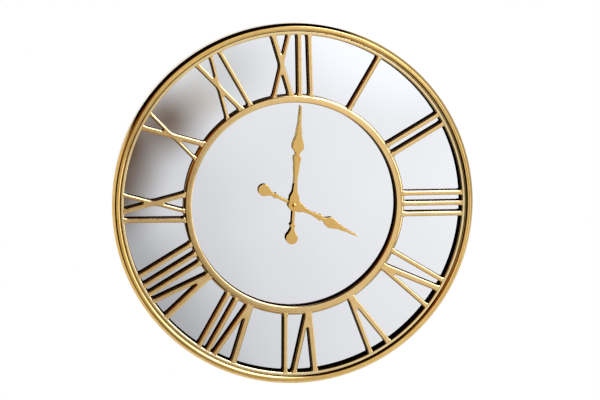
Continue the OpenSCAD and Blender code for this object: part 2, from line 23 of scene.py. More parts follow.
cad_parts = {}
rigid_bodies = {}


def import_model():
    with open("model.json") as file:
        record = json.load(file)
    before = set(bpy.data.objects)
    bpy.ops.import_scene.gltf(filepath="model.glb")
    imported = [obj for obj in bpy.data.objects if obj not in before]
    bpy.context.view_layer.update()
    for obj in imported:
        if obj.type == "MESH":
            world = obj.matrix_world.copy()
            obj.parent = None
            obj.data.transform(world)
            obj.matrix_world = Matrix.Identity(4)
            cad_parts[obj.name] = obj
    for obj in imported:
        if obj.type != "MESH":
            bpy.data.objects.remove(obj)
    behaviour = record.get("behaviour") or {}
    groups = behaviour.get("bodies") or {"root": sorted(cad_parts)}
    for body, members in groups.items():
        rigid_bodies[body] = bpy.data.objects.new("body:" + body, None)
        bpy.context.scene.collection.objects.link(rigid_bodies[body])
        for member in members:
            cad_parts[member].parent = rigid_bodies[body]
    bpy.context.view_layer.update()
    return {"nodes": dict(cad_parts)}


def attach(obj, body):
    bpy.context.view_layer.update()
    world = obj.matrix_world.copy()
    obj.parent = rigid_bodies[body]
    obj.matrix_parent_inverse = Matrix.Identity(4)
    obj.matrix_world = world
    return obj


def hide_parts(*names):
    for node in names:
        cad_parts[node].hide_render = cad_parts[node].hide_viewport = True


LOG = logging.getLogger("mirror_clock")
MM = 0.001
DIAL_Z = -0.266
DIAL = Matrix.Translation((0, 0, DIAL_Z)) @ Matrix.Rotation(math.pi / 2, 4, "X") @ Matrix.Scale(MM, 4)
TURNED_SEGMENTS = 288
COLLAR_SEGMENTS = 48
SHARP = math.radians(38)
WELD = 1e-6
# A face turned to the front by less than SIDE is a side, by more than FLAT a front
SIDE, FLAT = 0.3, 0.9
# Room for rounding when a face is told by its radius or depth
SLACK, HAIR = 0.1, 0.01
# Turned sections stop this short of the axis
NEAR_AXIS = 0.02
# Values of the noise that the tint and the roughness run between
TINT_SPAN, ROUGH_SPAN = (0.1, 0.45), (0.25, 0.75)
Point = tuple[float, float]
Place = tuple[float, float, float]
Stroke = tuple[float, float, float]
Fed = Mapping[str, NodeSocket]


def linear(colour: str) -> tuple[float, float, float, float]:
    """Turns an sRGB hex colour into a linear one.

    Args:
        colour: Six hex digits after a hash.

    Returns:
        Red, green, blue and an alpha of 1.
    """
    parts = [int(colour[i:i + 2], 16) / 255 for i in (1, 3, 5)]
    lit = [c / 12.92 if c <= 0.04045 else ((c + 0.055) / 1.055) ** 2.4 for c in parts]
    return (*lit, 1.0)


def add(tree: NodeTree, kind: str, inputs: dict | None = None, **settings: object) -> Node:
    """Adds a node, sets it up and links what feeds it.

    Args:
        tree: The tree that gets the node.
        kind: The node's type name.
        inputs: Values or sockets by input name or number.
        settings: Properties of the node.

    Returns:
        The new node.
    """
    node = tree.nodes.new(kind)
    for key, value in settings.items():
        setattr(node, key, value)
    for key, value in (inputs or {}).items():
        if isinstance(value, NodeSocket):
            tree.links.new(value, node.inputs[key])
        else:
            node.inputs[key].default_value = value
    return node


class Grain(Enum):
    """How a surface was made, which sets its fine pattern."""

    CAST = "soft ripple of a polished casting"
    BRUSHED = "lines of a brush along one direction"
    TURNED = "rings left by a lathe"
    SPARK = "pits of a spark-eroded mould"
    FIBRE = "short pressed fibres"
    WOUND = "turns of wire side by side"


@dataclass(frozen=True)
class Finish:
    """One real material and how its surface was made.

    The cloud is a slow change of tint over the piece, the grain a fine one that
    also moves the roughness and the bump. Both have sizes in millimetres.
    """

    name: str
    base: str
    tint: str
    grain: Grain
    grain_mm: float
    cloud_mm: float
    rough: tuple[float, float]
    metallic: float = 0.0
    bump_mm: float = 0.0
    ior: float = 1.5
    coat: float = 0.0
    turn_deg: float = 0.0
    specular: float = 0.5

    @cache
    def build(self) -> Material:
        """Returns the node material of this finish."""
        material = bpy.data.materials.new(self.name)
        material.use_nodes = True
        material.diffuse_color = linear(self.base)
        tree = material.node_tree
        shader = tree.nodes["Principled BSDF"]
        shader.inputs["Metallic"].default_value = self.metallic
        shader.inputs["Coat Weight"].default_value = self.coat
        shader.inputs["Specular IOR Level"].default_value = self.specular
        if not self.metallic:
            shader.inputs["IOR"].default_value = self.ior
        place = add(tree, "ShaderNodeTexCoord").outputs["Object"]
        centred = add(tree, "ShaderNodeMapping", {
            "Vector": place, "Location": (0, 0, -DIAL_Z)}).outputs[0]
        cloud = add(tree, "ShaderNodeTexNoise", {
            "Vector": centred, "Scale": 1 / (self.cloud_mm * MM), "Detail": 3.0}).outputs["Fac"]
        grain = self.pattern(tree, centred)
        mixed = add(tree, "ShaderNodeMath", {0: cloud, 1: grain}, operation="MULTIPLY").outputs[0]
        share = add(tree, "ShaderNodeMapRange", {
            "Value": mixed, "From Min": TINT_SPAN[0], "From Max": TINT_SPAN[1]}).outputs[0]
        tint = add(tree, "ShaderNodeMix", {
            "Factor": share, "A": linear(self.tint), "B": linear(self.base)}, data_type="RGBA")
        tree.links.new(tint.outputs["Result"], shader.inputs["Base Color"])
        rough = add(tree, "ShaderNodeMapRange", {
            "Value": grain, "From Min": ROUGH_SPAN[0], "From Max": ROUGH_SPAN[1],
            "To Min": self.rough[0], "To Max": self.rough[1]}).outputs[0]
        tree.links.new(rough, shader.inputs["Roughness"])
        if self.bump_mm:
            bump = add(tree, "ShaderNodeBump", {
                "Height": grain, "Strength": 1.0, "Distance": self.bump_mm * MM}).outputs[0]
            tree.links.new(bump, shader.inputs["Normal"])
        return material

    def pattern(self, tree: NodeTree, place: NodeSocket) -> NodeSocket:
        """Adds the fine pattern of this finish.

        Args:
            tree: The material's tree.
            place: Object coordinates, centred on the dial.

        Returns:
            The pattern's value, about 0 to 1.
        """
        per_metre = 1 / (self.grain_mm * MM)
        if self.grain in (Grain.TURNED, Grain.WOUND):
            # a wave's period is 0.314 at a scale of 1
            kind = "RINGS" if self.grain is Grain.TURNED else "BANDS"
            return add(tree, "ShaderNodeTexWave", {
                "Vector": place, "Scale": 0.314 * per_metre, "Distortion": 0.6, "Detail": 1.0},
                wave_type=kind, rings_direction="Y", bands_direction="Z").outputs["Fac"]
        stretch = {Grain.BRUSHED: (1.0, 1.0, 0.04), Grain.FIBRE: (1.0, 1.0, 0.35)}.get(self.grain, (1, 1, 1))
        turned = add(tree, "ShaderNodeMapping", {
            "Vector": place, "Rotation": (0, -math.radians(self.turn_deg), 0)}).outputs[0]
        drawn = add(tree, "ShaderNodeMapping", {"Vector": turned, "Scale": stretch}).outputs[0]
        fine = 0.5 if self.grain is Grain.CAST else 4.0
        return add(tree, "ShaderNodeTexNoise", {
            "Vector": drawn, "Scale": per_metre, "Detail": fine, "Roughness": 0.6}).outputs["Fac"]


MINUTE_ANGLE = 3.8
HOUR_ANGLE = 116.5

# Gold-plated aluminium casting, polished by hand: warm, soft ripple, slightly cloudy
GOLD = Finish("gold_plated_casting", "#E5C17A", "#DBB164", Grain.CAST, 9.0, 45, (0.04, 0.07), 1.0, 0.0015)
# The same plating on the openwork, softer, and paler in part as a painted highlight
PALE_GOLD = replace(GOLD, name="gold_plated_openwork", base="#E6C68C", tint="#DDB776", rough=(0.1, 0.15))
# The same plating on the slim lip, the palest of all as a painted highlight
LIP_GOLD = replace(GOLD, name="gold_plated_lip", base="#EDD5A2", tint="#E4C78E", rough=(0.08, 0.13))
# The same plating on the rolled outer wall, with a slower ripple
GOLD_WALL = replace(LIP_GOLD, name="gold_plated_rolled_band", base="#E6C585", tint="#D2A85E",
                    grain_mm=12.0, cloud_mm=60, bump_mm=0.002)
# Painted shade and painted dark reflection: black and dull on the walls, grooves and backs where shade falls
PAINTED_SHADE = Finish("painted_shade_black", "#100903", "#080401", Grain.CAST, 1.2, 20, (0.5, 0.7), 0.0, 0.01,
                ior=1.01, specular=0.04)
# Plating on the sides of the castings, as thick as on the front but not polished, its colour darkened as
# painted shade
SHADED_SIDES = Finish("gold_plating_sides_painted_shade", "#9C6A2C", "#744A1A", Grain.CAST, 1.5, 25, (0.3, 0.45), 1.0, 0.004)
# Gold-plated aluminium sheet of the hands, brushed along each hand and lacquered
MINUTE_GOLD = Finish("gold_plated_sheet_minute", "#EDC67A", "#E3B45E", Grain.BRUSHED, 0.9, 30,
                     (0.28, 0.36), 1.0, 0.0006, turn_deg=MINUTE_ANGLE)
HOUR_GOLD = replace(MINUTE_GOLD, name="gold_plated_sheet_hour", turn_deg=HOUR_ANGLE)
# Back of the minute hand's blade, seen in the mirror: a bright yellow painted highlight
HIGHLIT_BLADE_BACK = Finish("blade_back_painted_highlight", "#FFE694", "#FAD670", Grain.CAST, 6.0, 40, (0.4, 0.55),
                    0.0, 0.002)
# Silvered float glass: a clean reflection, a little cool
SILVER = Finish("silvered_float_glass", "#ECEDF0", "#E9EAED", Grain.CAST, 90, 160, (0.008, 0.02), 1.0)
# Ground edge of float glass: green from its iron
GLASS_EDGE = Finish("ground_glass_edge", "#6F8F82", "#5D7C70", Grain.SPARK, 0.7, 12, (0.3, 0.45), 0.0, 0.02)
# Grey protective paint behind the silver, rolled on
BACK_PAINT = Finish("mirror_back_paint", "#6B7074", "#5F6468", Grain.CAST, 2.5, 50, (0.45, 0.6), 0.0, 0.02)
# Hard-pressed fibreboard: brown, flecked with short fibres
FIBREBOARD = Finish("pressed_fibreboard", "#8C6A46", "#70533A", Grain.FIBRE, 2.2, 20, (0.65, 0.85), 0.0, 0.06)
# Zinc-plated mild steel: bluish, faintly mottled
ZINC = Finish("zinc_plated_steel", "#B9BCC0", "#8F949A", Grain.CAST, 2.4, 9, (0.28, 0.45), 1.0, 0.008)
# Bright tin-plated steel of the contacts and the motor
BRIGHT = Finish("tin_plated_steel", "#C9CACC", "#A9ABAF", Grain.BRUSHED, 0.8, 8, (0.2, 0.32), 1.0, 0.003)
# Turned brass of the bush, nuts and arbor
BRASS = Finish("turned_brass", "#D0AE64", "#B88F42", Grain.TURNED, 0.8, 10, (0.22, 0.34), 1.0, 0.004)
RUBBER = Finish("nitrile_rubber", "#1B1B1C", "#131314", Grain.SPARK, 0.8, 10, (0.75, 0.9), 0.0, 0.02)
# Moulded ABS with a spark-eroded texture, which scatters the light
ABS = Finish("moulded_abs", "#232426", "#18191A", Grain.SPARK, 0.7, 25, (0.42, 0.6), 0.0, 0.02, 1.54)
# Natural acetal of the wheels: milky, slightly greasy
ACETAL = Finish("natural_acetal", "#E4E0D2", "#D3CDBB", Grain.CAST, 1.0, 8, (0.32, 0.44), 0.0, 0.004, 1.48)
COPPER = Finish("enamelled_copper_wire", "#B5672F", "#7C3B14", Grain.WOUND, 0.5, 6, (0.25, 0.4), 1.0, 0.05)
BOARD = Finish("solder_mask_board", "#1F5A33", "#164526", Grain.CAST, 1.4, 6, (0.25, 0.4), 0.0, 0.01, 1.52)
EPOXY = Finish("moulded_epoxy", "#17181A", "#101112", Grain.SPARK, 0.5, 4, (0.5, 0.65), 0.0, 0.01)
# Printed sleeve of the battery, dark with a copper-coloured end
SLEEVE = Finish("printed_sleeve_dark", "#26282C", "#1C1E21", Grain.CAST, 1.8, 15, (0.22, 0.32), 0.0, 0.005,
                coat=0.3)
SLEEVE_BAND = Finish("printed_sleeve_copper", "#B9733A", "#A05F2B", Grain.BRUSHED, 1.0, 15, (0.25, 0.35), 1.0)
# Matt pale paint of the studio's floor
FLOOR_PAINT = Finish("pale_floor", "#F4F4F2", "#EFEFED", Grain.CAST, 3.0, 80, (0.6, 0.7))


def spun(angle: float) -> np.ndarray:
    """Returns the matrix that turns rows of points clockwise by an angle in degrees."""
    turn = math.radians(angle)
    return np.array([[math.cos(turn), -math.sin(turn)], [math.sin(turn), math.cos(turn)]])


@dataclass
class Draft:
    """Points and faces of a piece on the dial, with a finish number for each face."""

    points: list[Place] = field(default_factory=list)
    faces: list[tuple[int, ...]] = field(default_factory=list)
    finish: list[int] = field(default_factory=list)

    def ring(self, points: Iterable[Place]) -> list[int]:
        """Adds a row of points.

        Args:
            points: The points, in order.

        Returns:
            Their numbers.
        """
        first = len(self.points)
        self.points.extend(points)
        return list(range(first, len(self.points)))

    def circle(self, radius: float, depth: float) -> list[int]:
        """Adds a circle round the dial's axis and returns the numbers of its points."""
        angles = np.linspace(0, math.tau, COLLAR_SEGMENTS, endpoint=False)
        return self.ring((radius * math.cos(a), radius * math.sin(a), depth) for a in angles)

    def face(self, corners: Sequence[int], finish: int = 0) -> None:
        """Adds one face."""
        self.faces.append(tuple(corners))
        self.finish.append(finish)

    def skin(self, low: list[int], high: list[int], finish: int = 0) -> None:
        """Joins two closed rows of the same length with quads.

        Args:
            low: Point numbers of the first row.
            high: Point numbers of the second row.
            finish: Finish number of the quads.
        """
        for i in range(len(low)):
            j = (i + 1) % len(low)
            self.face((low[i], low[j], high[j], high[i]), finish)

    def data(self, name: str) -> Mesh:
        """Makes a Blender mesh in the frame of the dial.

        Args:
            name: Name of the mesh.

        Returns:
            The mesh.
        """
        data = bpy.data.meshes.new(name)
        data.from_pydata(self.points, [], self.faces)
        data.polygons.foreach_set("material_index", self.finish)
        return data


def smooth(data: Mesh) -> None:
    """Welds a mesh, turns its faces outwards and smooths it up to sharp edges.

    Args:
        data: The mesh, on the dial or in the part's frame.
    """
    work = bmesh.new()
    work.from_mesh(data)
    bmesh.ops.remove_doubles(work, verts=work.verts, dist=WELD)
    bmesh.ops.recalc_face_normals(work, faces=work.faces)
    work.to_mesh(data)
    work.free()
    data.polygons.foreach_set("use_smooth", [True] * len(data.polygons))
    data.set_sharp_from_angle(angle=SHARP)


def show(name: str, data: Mesh, body: str, nodes: Sequence[str],
         finishes: Sequence[Finish]) -> None:
    """Puts a mesh of the dial into the part as a piece.

    Args:
        name: Name of the piece.
        data: Its mesh, in millimetres on the dial.
        body: The body that it rides on.
        nodes: The solids that it stands for.
        finishes: Finishes by number.
    """
    data.transform(DIAL)
    numbers = [face.material_index for face in data.polygons]
    data.materials.clear()
    for finish in finishes:
        data.materials.append(finish.build())
    data.polygons.foreach_set("material_index", numbers)
    smooth(data)
    piece = bpy.data.objects.new(name, data)
    bpy.context.scene.collection.objects.link(piece)
    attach(piece, body)
    if nodes:
        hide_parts(*nodes)
    LOG.info("%s: %d faces on %s", name, len(data.polygons), body)


def grown(name: str, body: Callable[[NodeTree, Fed], NodeSocket], data: Mesh, **sizes: float) -> Mesh:
    """Runs a geometry node tree on a mesh, and makes the tree before its first run.

    Args:
        name: Name of the tree.
        body: Adds the nodes that are the tree's own.
        data: The mesh that it starts from.
        sizes: Values of its named inputs.

    Returns:
        The result as a plain mesh.
    """
    tree = bpy.data.node_groups.get(name)
    if not tree:
        tree = bpy.data.node_groups.new(name, "GeometryNodeTree")
        kinds = {label: "Int" if isinstance(value, int) else "Float" for label, value in sizes.items()}
        for label, kind in {"Geometry": "Geometry", **kinds}.items():
            tree.interface.new_socket(name=label, in_out="INPUT", socket_type="NodeSocket" + kind)
        tree.interface.new_socket(name="Geometry", in_out="OUTPUT", socket_type="NodeSocketGeometry")
        made = body(tree, add(tree, "NodeGroupInput").outputs)
        real = add(tree, "GeometryNodeRealizeInstances", {"Geometry": made}).outputs[0]
        add(tree, "NodeGroupOutput", {0: real})
    holder = bpy.data.objects.new("tree_holder", data)
    bpy.context.scene.collection.objects.link(holder)
    modifier = holder.modifiers.new("made", "NODES")
    modifier.node_group = tree
    for item in tree.interface.items_tree:
        if item.in_out == "INPUT" and item.name in sizes:
            modifier[item.identifier] = sizes[item.name]
    holder.update_tag()
    graph = bpy.context.evaluated_depsgraph_get()
    made = bpy.data.meshes.new_from_object(holder.evaluated_get(graph))
    holder.modifiers.clear()
    bpy.data.objects.remove(holder)
    return made


def sweep(tree: NodeTree, fed: Fed) -> NodeSocket:
    """Adds the nodes that sweep a closed section round the axis of the dial.

    Args:
        tree: The tree.
        fed: Its inputs.

    Returns:
        The swept geometry.
    """
    section = add(tree, "GeometryNodeMeshToCurve", {"Mesh": fed["Geometry"]}).outputs[0]
    path = add(tree, "GeometryNodeCurvePrimitiveCircle", {
        "Resolution": fed["Segments"], "Radius": fed["Radius"]}, mode="RADIUS").outputs[0]
    return add(tree, "GeometryNodeCurveToMesh", {"Curve": path, "Profile Curve": section}).outputs[0]


def copies(tree: NodeTree, fed: Fed) -> NodeSocket:
    """Adds the nodes that set copies of a shape evenly around the axis.

    Args:
        tree: The tree.
        fed: Its inputs.

    Returns:
        The copies.
    """
    spots = add(tree, "GeometryNodeMeshLine", {
        "Count": fed["Count"], "Offset": (0, 0, 0)}, mode="OFFSET").outputs[0]
    step = add(tree, "ShaderNodeMath", {0: math.tau, 1: fed["Count"]}, operation="DIVIDE").outputs[0]
    number = add(tree, "GeometryNodeInputIndex").outputs[0]
    angle = add(tree, "ShaderNodeMath", {0: number, 1: step}, operation="MULTIPLY").outputs[0]
    euler = add(tree, "ShaderNodeCombineXYZ", {"Z": angle}).outputs[0]
    turn = add(tree, "FunctionNodeEulerToRotation", {0: euler}).outputs[0]
    return add(tree, "GeometryNodeInstanceOnPoints", {
        "Points": spots, "Instance": fed["Geometry"], "Rotation": turn}).outputs[0]


def turned(name: str, section: Sequence[Point], rule: Callable[[float, float, float], int] | None = None,
           segments: int = TURNED_SEGMENTS) -> Mesh:
    """Turns a closed section round the dial's axis with the turning tree.

    Args:
        name: Name of the mesh.
        section: Points of radius and depth, in order.
        rule: Gives a face's finish number from its radius, depth and how much it faces the front.
        segments: Faces around the axis.

    Returns:
        The mesh on the dial.
    """
    middle = sum(p[0] for p in section) / len(section)
    data = bpy.data.meshes.new(name + "_section")
    data.from_pydata([(r - middle, -d, 0) for r, d in section],
                     [(i, (i + 1) % len(section)) for i in range(len(section))], [])
    made = grown("turned_ring", sweep, data, Radius=middle, Segments=segments)
    made.name = name
    smooth(made)
    if rule:
        for face in made.polygons:
            x, y, d = face.center
            face.material_index = rule(math.hypot(x, y), d, face.normal.z)
    return made


@dataclass
class Openwork:
    """Sizes that the rings and the numerals share."""

    ring_out: float = 185.0
    lip_in: float = 283.5
    front: float = 42.5
    back: float = 37.0


@dataclass
class RimAndRings(Openwork):
    """Rolled side band, beaded bezel, lip and inner ring."""

    rim_r: float = 302.5
    wall: float = 2.6
    roll: float = 0.8
    band_top: float = 38.0
    shoulder: float = 40.5
    crown_r: float = 294.0
    crest: float = 46.0
    flank_r: float = 5.37
    flank_lean: float = 55.0
    face_r: float = 38.7
    turn_r: float = 2.2
    slope_r: float = 45.0
    groove_r: float = 289.0
    skirt: float = 2.5
    skirt_back: float = 33.0
    lip_round: float = 2.2
    lip_face: float = 22.0
    lip_edge: float = 0.9
    lip_step: float = 2.0
    lip_wall: float = 2.0
    # depth behind which the lip's side walls get painted shade
    lip_dark: float = 41.0
    mirror_front: float = 27.0
    ring_in: float = 171.5
    ring_edge: float = 3.0
    ring_shoulder: float = 4.6

    def build(self) -> None:
        """Builds and dresses the four rings."""
        self.side_band()
        self.bezel()
        self.lip()
        self.inner_ring()

    def side_band(self) -> None:
        """Builds the wall, with its back edge rolled in."""
        inner, roll = self.rim_r - self.wall, self.roll
        section = [(inner, self.band_top), (inner, roll)]
        self.carry_on(section, (roll, -90, -180, 4))
        section += self.bent((self.rim_r - roll, 0), roll, 180, 90, 4)
        section += [(self.rim_r, self.band_top)]
        # the inner wall gets black painted shade
        made = turned("side_band_wall", section, lambda r, d, n: int(r < inner + SLACK))
        show("side_band_wall", made, "frame", ["side_band"], [GOLD_WALL, PAINTED_SHADE])

    def bezel(self) -> None:
        """Builds the moulding: a rounded flank, a nearly flat face, a tight edge and a steep slope."""
        web, foot = self.band_top, self.groove_r + self.skirt
        flank = self.crown_r - self.flank_r * math.sin(math.radians(self.flank_lean))
        section = [(self.groove_r, self.skirt_back), (self.groove_r, self.shoulder), (flank, self.shoulder)]
        section += self.bent((flank, 0), self.flank_r, -self.flank_lean, 0, 22, self.crest)
        self.carry_on(section, (self.face_r, 0, 4, 3), (self.turn_r, 4, 48, 10), (self.slope_r, 48, 57, 10))
        section += [(self.rim_r, web), (foot, web), (foot, self.skirt_back)]
        # the web's underside and the groove wall get black painted shade
        made = turned("beaded_bezel", section, lambda r, d, n: int(
            d < web + HAIR and r < self.rim_r - SLACK or r < flank + HAIR))
        show("beaded_bezel", made, "frame", ["bezel"], [GOLD, PAINTED_SHADE])

    @staticmethod
    def bent(start: Point, radius: float, lean0: float, lean1: float, steps: int,
             crest: float | None = None) -> list[Point]:
        """Points of a curve that begins at a point, by the lean of its face in degrees outwards.

        Args:
            start: Radius and depth of the first point.
            radius: How sharply the curve bends.
            lean0: Lean of the face at the start.
            lean1: Lean of the face at the end.
            steps: Parts of the curve.
            crest: Depth of the point with no lean, if the start's depth follows from it.

        Returns:
            The points, the first one included.
        """
        a = [math.radians(lean0 + (lean1 - lean0) * i / steps) for i in range(steps + 1)]
        base = crest - radius if crest else start[1] - radius * math.cos(a[0])
        return [(start[0] + radius * (math.sin(t) - math.sin(a[0])), base + radius * math.cos(t)) for t in a]

    @classmethod
    def carry_on(cls, section: list[Point], *bends: tuple[float, float, float, int]) -> None:
        """Carries a section on by curves, each with its radius, both leans and its steps."""
        for bend in bends:
            section += cls.bent(section[-1], *bend)[1:]

    def lip(self) -> None:
        """Builds the lip with its rounded edges, and the wall that runs back to the mirror."""
        wall, step = self.lip_in + self.lip_wall, self.front - self.lip_step
        section = [(self.lip_in, self.mirror_front), (self.lip_in, self.back)]
        section += self.bent((self.lip_in, 0), self.lip_round, -60, -4, 10, self.front)
        self.carry_on(section, (self.lip_face, -4, 5, 6), (self.lip_edge, 5, 50, 6))
        section += [(section[-1][0], step), (self.groove_r, step), (self.groove_r, self.back),
                    (wall, self.back), (wall, self.mirror_front)]
        # the lip's side walls behind lip_dark and its outer flank get black painted shade
        made = turned("lip", section, lambda r, d, n: int(
            n < SIDE and (d < self.lip_dark or r > self.groove_r)))
        show("lip", made, "frame", ["lip_ring"], [LIP_GOLD, PAINTED_SHADE])

    def inner_ring(self) -> None:
        """Builds the domed ring round the centre."""
        lean, level, rise = 40, 2, 48
        level_sin, rise_sin = (math.sin(math.radians(a)) for a in (level, rise))
        section = [(self.ring_in, self.back)]
        section += self.bent((self.ring_in, 0), self.ring_edge, -lean, 0, 8, self.front)
        face_r = (self.ring_out - self.ring_shoulder - section[-1][0]) / level_sin
        turn_r = self.ring_shoulder / (rise_sin - level_sin)
        self.carry_on(section, (face_r, 0, level, 6), (turn_r, level, rise, 10))
        section += [(self.ring_out, self.back)]
        # black painted shade on the back, sides darkened as painted shade
        made = turned("inner_band", section, lambda r, d, n: 1 if n < -SIDE else 2 if n < SIDE else 0)
        show("inner_band", made, "frame", ["inner_ring"], [PALE_GOLD, PAINTED_SHADE, SHADED_SIDES])


class Letter(Enum):
    """Strokes that a Roman numeral is made of."""

    I = "I"
    V = "V"
    X = "X"


@dataclass(frozen=True)
class Glyph:
    """A letter, its middle to the right and its lean, both in stroke pitches."""

    letter: Letter
    middle: float
    lean: float = 0.0


@dataclass
class Numerals(Openwork):
    """Twelve openwork numerals between the inner ring and the lip.

    A stroke is its outer end, its inner end and its width, for a numeral at twelve.
    """

    pitch: float = 17.5
    bar_w: float = 7.7
    v_heavy: float = 9.6
    v_fine: float = 7.9
    v_spread: float = 35.5
    v_foot: float = 3.6
    x_heavy: float = 8.6
    x_fine: float = 6.0
    x_spread: float = 26.5
    flare: float = 1.1
    flare_len: float = 6.0
    blend: float = 3.6
    tuck_in: float = 4.0
    tuck_out: float = 2.2
    tuck_lead: float = 1.0
    tuck_len: float = 5.0
    tuck_drop: float = 0.5
    taper: float = 2.0
    least_inset: float = 0.03
    dome_w: float = 3.5
    dome_share: float = 0.8
    round_w: float = 2.6
    round_h: float = 1.5
    round_steps: int = 7
    bevel: float = 0.3
    brim: float = 0.1
    cell: float = 0.9
    margins: Place = (4.0, 18.0, 6.0)
    spacing: float = 0.9
    least_points: int = 12
    settle: float = 0.8
    settle_steps: int = 3

    def build(self) -> None:
        """Builds and dresses the numerals."""
        one, five, ten = (partial(Glyph, letter) for letter in Letter)
        rows = [
            [one(-0.06)],
            [one(-0.55, -0.1), one(0.45, -0.1)],
            [one(-1.1, -0.05), one(-0.1, -0.05), one(0.91, -0.05)],
            [one(-0.83, 0.06), five(1.03, 0.2)],
            [five(-0.27)],
            [five(-1.22, 0.31), one(0.83)],
            [five(-1.35, -0.4), one(0.25, -0.08), one(1.19, -0.09)],
            [five(-1.93, -0.43), one(-0.27, -0.14), one(0.68, -0.16), one(1.7, -0.13)],
            [one(-1.33), ten(0.32)],
            [ten(-0.01, 0.05)],
            [ten(-0.6), one(1.12)],
            [ten(-1.26, -0.19), one(0.4, -0.11), one(1.42, -0.22)]]
        for hour, glyphs in enumerate(rows, 1):
            made = self.casting(hour, [s for g in glyphs for s in self.strokes(g)])
            show(f"numeral_{hour}_casting", made, "frame", [f"numeral_{hour}"],
                 [PALE_GOLD, PAINTED_SHADE, SHADED_SIDES])

    def strokes(self, glyph: Glyph) -> list[Stroke]:
        """Lists the strokes of a letter.

        Args:
            glyph: The letter and its place.

        Returns:
            One stroke, or two that meet or cross.
        """
        top = (glyph.middle + glyph.lean / 2) * self.pitch
        foot = (glyph.middle - glyph.lean / 2) * self.pitch
        half = self.v_spread / 2, self.x_spread / 2
        return {
            Letter.I: [(top, foot, self.bar_w)],
            Letter.V: [(top - half[0], foot - self.v_foot / 2, self.v_heavy),
                       (top + half[0], foot + self.v_foot / 2, self.v_fine)],
            Letter.X: [(top - half[1], foot + half[1], self.x_heavy),
                       (top + half[1], foot - half[1], self.x_fine)],
        }[glyph.letter]

    def distance(self, at: np.ndarray, strokes: Sequence[Stroke]) -> np.ndarray:
        """Signed distance to the outline of a numeral that stands at twelve.

        Args:
            at: Points, one row each.
            strokes: Its strokes.

        Returns:
            Distances, negative inside.
        """
        x, y = at[:, 0], at[:, 1]
        radius = np.hypot(x, y)
        to_end = np.minimum(radius - self.ring_out, self.lip_in - radius)
        widen = self.flare * np.clip(1 - to_end / self.flare_len, 0, 1) ** 2
        height = self.lip_in - self.ring_out
        total = None
        for outer, inner, width in strokes:
            along = np.array([outer - inner, height]) / math.hypot(outer - inner, height)
            side = np.abs((x - inner) * along[1] - (y - self.ring_out) * along[0]) - width / 2 - widen
            if total is None:
                total = side
                continue
            near = np.clip(0.5 + 0.5 * (side - total) / self.blend, 0, 1)
            total = side * (1 - near) + total * near - self.blend * near * (1 - near)
        ends = np.maximum(self.ring_out - self.tuck_in - radius, radius - self.lip_in - self.tuck_out)
        return np.maximum(total, ends)

    def outlines(self, strokes: Sequence[Stroke]) -> list[np.ndarray]:
        """Follows the outline of a numeral.

        Args:
            strokes: Its strokes.

        Returns:
            Closed rows of evenly spaced points, with the inside on the left.
        """
        beside, below, above = self.margins
        reach = max(max(abs(o), abs(i)) + w for o, i, w in strokes) + beside
        xs = np.arange(-reach, reach + self.cell, self.cell)
        ys = np.arange(self.ring_out - below, self.lip_in + above, self.cell)
        grid = np.stack(np.meshgrid(xs, ys, indexing="ij"), -1)
        value = self.distance(grid.reshape(-1, 2), strokes).reshape(grid.shape[:2])
        value[value == 0] = 1e-9
        follow: dict[tuple, tuple] = {}
        spot: dict[tuple, np.ndarray] = {}
        inside = value < 0
        full = inside.astype(int)
        mixed = np.argwhere((full[:-1, :-1] + full[1:, :-1] + full[:-1, 1:] + full[1:, 1:]) % 4)
        for i, j in mixed:
            corners = [(i, j), (i + 1, j), (i + 1, j + 1), (i, j + 1)]
            into, out = [], []
            for a, b in zip(corners, corners[1:] + corners[:1]):
                if inside[a] == inside[b]:
                    continue
                edge = (min(a, b), max(a, b))
                share = value[edge[0]] / (value[edge[0]] - value[edge[1]])
                spot[edge] = grid[edge[0]] + share * (grid[edge[1]] - grid[edge[0]])
                (out if inside[a] else into).append(edge)
            for a, b in zip(out, into):
                follow[a] = b
        rows = []
        while follow:
            row, edge = [], next(iter(follow))
            while edge in follow:
                row.append(spot[edge])
                edge = follow.pop(edge)
            rows.append(self.even(np.array(row), strokes))
        return rows

    def slope(self, at: np.ndarray, strokes: Sequence[Stroke]) -> np.ndarray:
        """Finds the directions that lead out of the outline.

        Args:
            at: Points, one row each.
            strokes: The numeral's strokes.

        Returns:
            Unit directions, one row each.
        """
        step = 0.05
        grad = np.stack([self.distance(at + d, strokes) - self.distance(at - d, strokes)
                         for d in (np.array([step, 0]), np.array([0, step]))], -1)
        return grad / np.maximum(np.linalg.norm(grad, axis=1, keepdims=True), 1e-9)

    def even(self, row: np.ndarray, strokes: Sequence[Stroke]) -> np.ndarray:
        """Spaces the points of a closed row evenly and sets them on the outline.

        Args:
            row: Points of the row.
            strokes: The numeral's strokes.

        Returns:
            The new points.
        """
        closed = np.vstack([row, row[:1]])
        length = np.concatenate([[0], np.cumsum(np.linalg.norm(np.diff(closed, axis=0), axis=1))])
        count = max(self.least_points, round(length[-1] / self.spacing))
        stops = np.linspace(0, length[-1], count, endpoint=False)
        spaced = np.stack([np.interp(stops, length, closed[:, k]) for k in (0, 1)], -1)
        for _ in range(self.settle_steps):
            off = self.distance(spaced, strokes)[:, None]
            spaced = spaced - self.slope(spaced, strokes) * off * self.settle
        return spaced

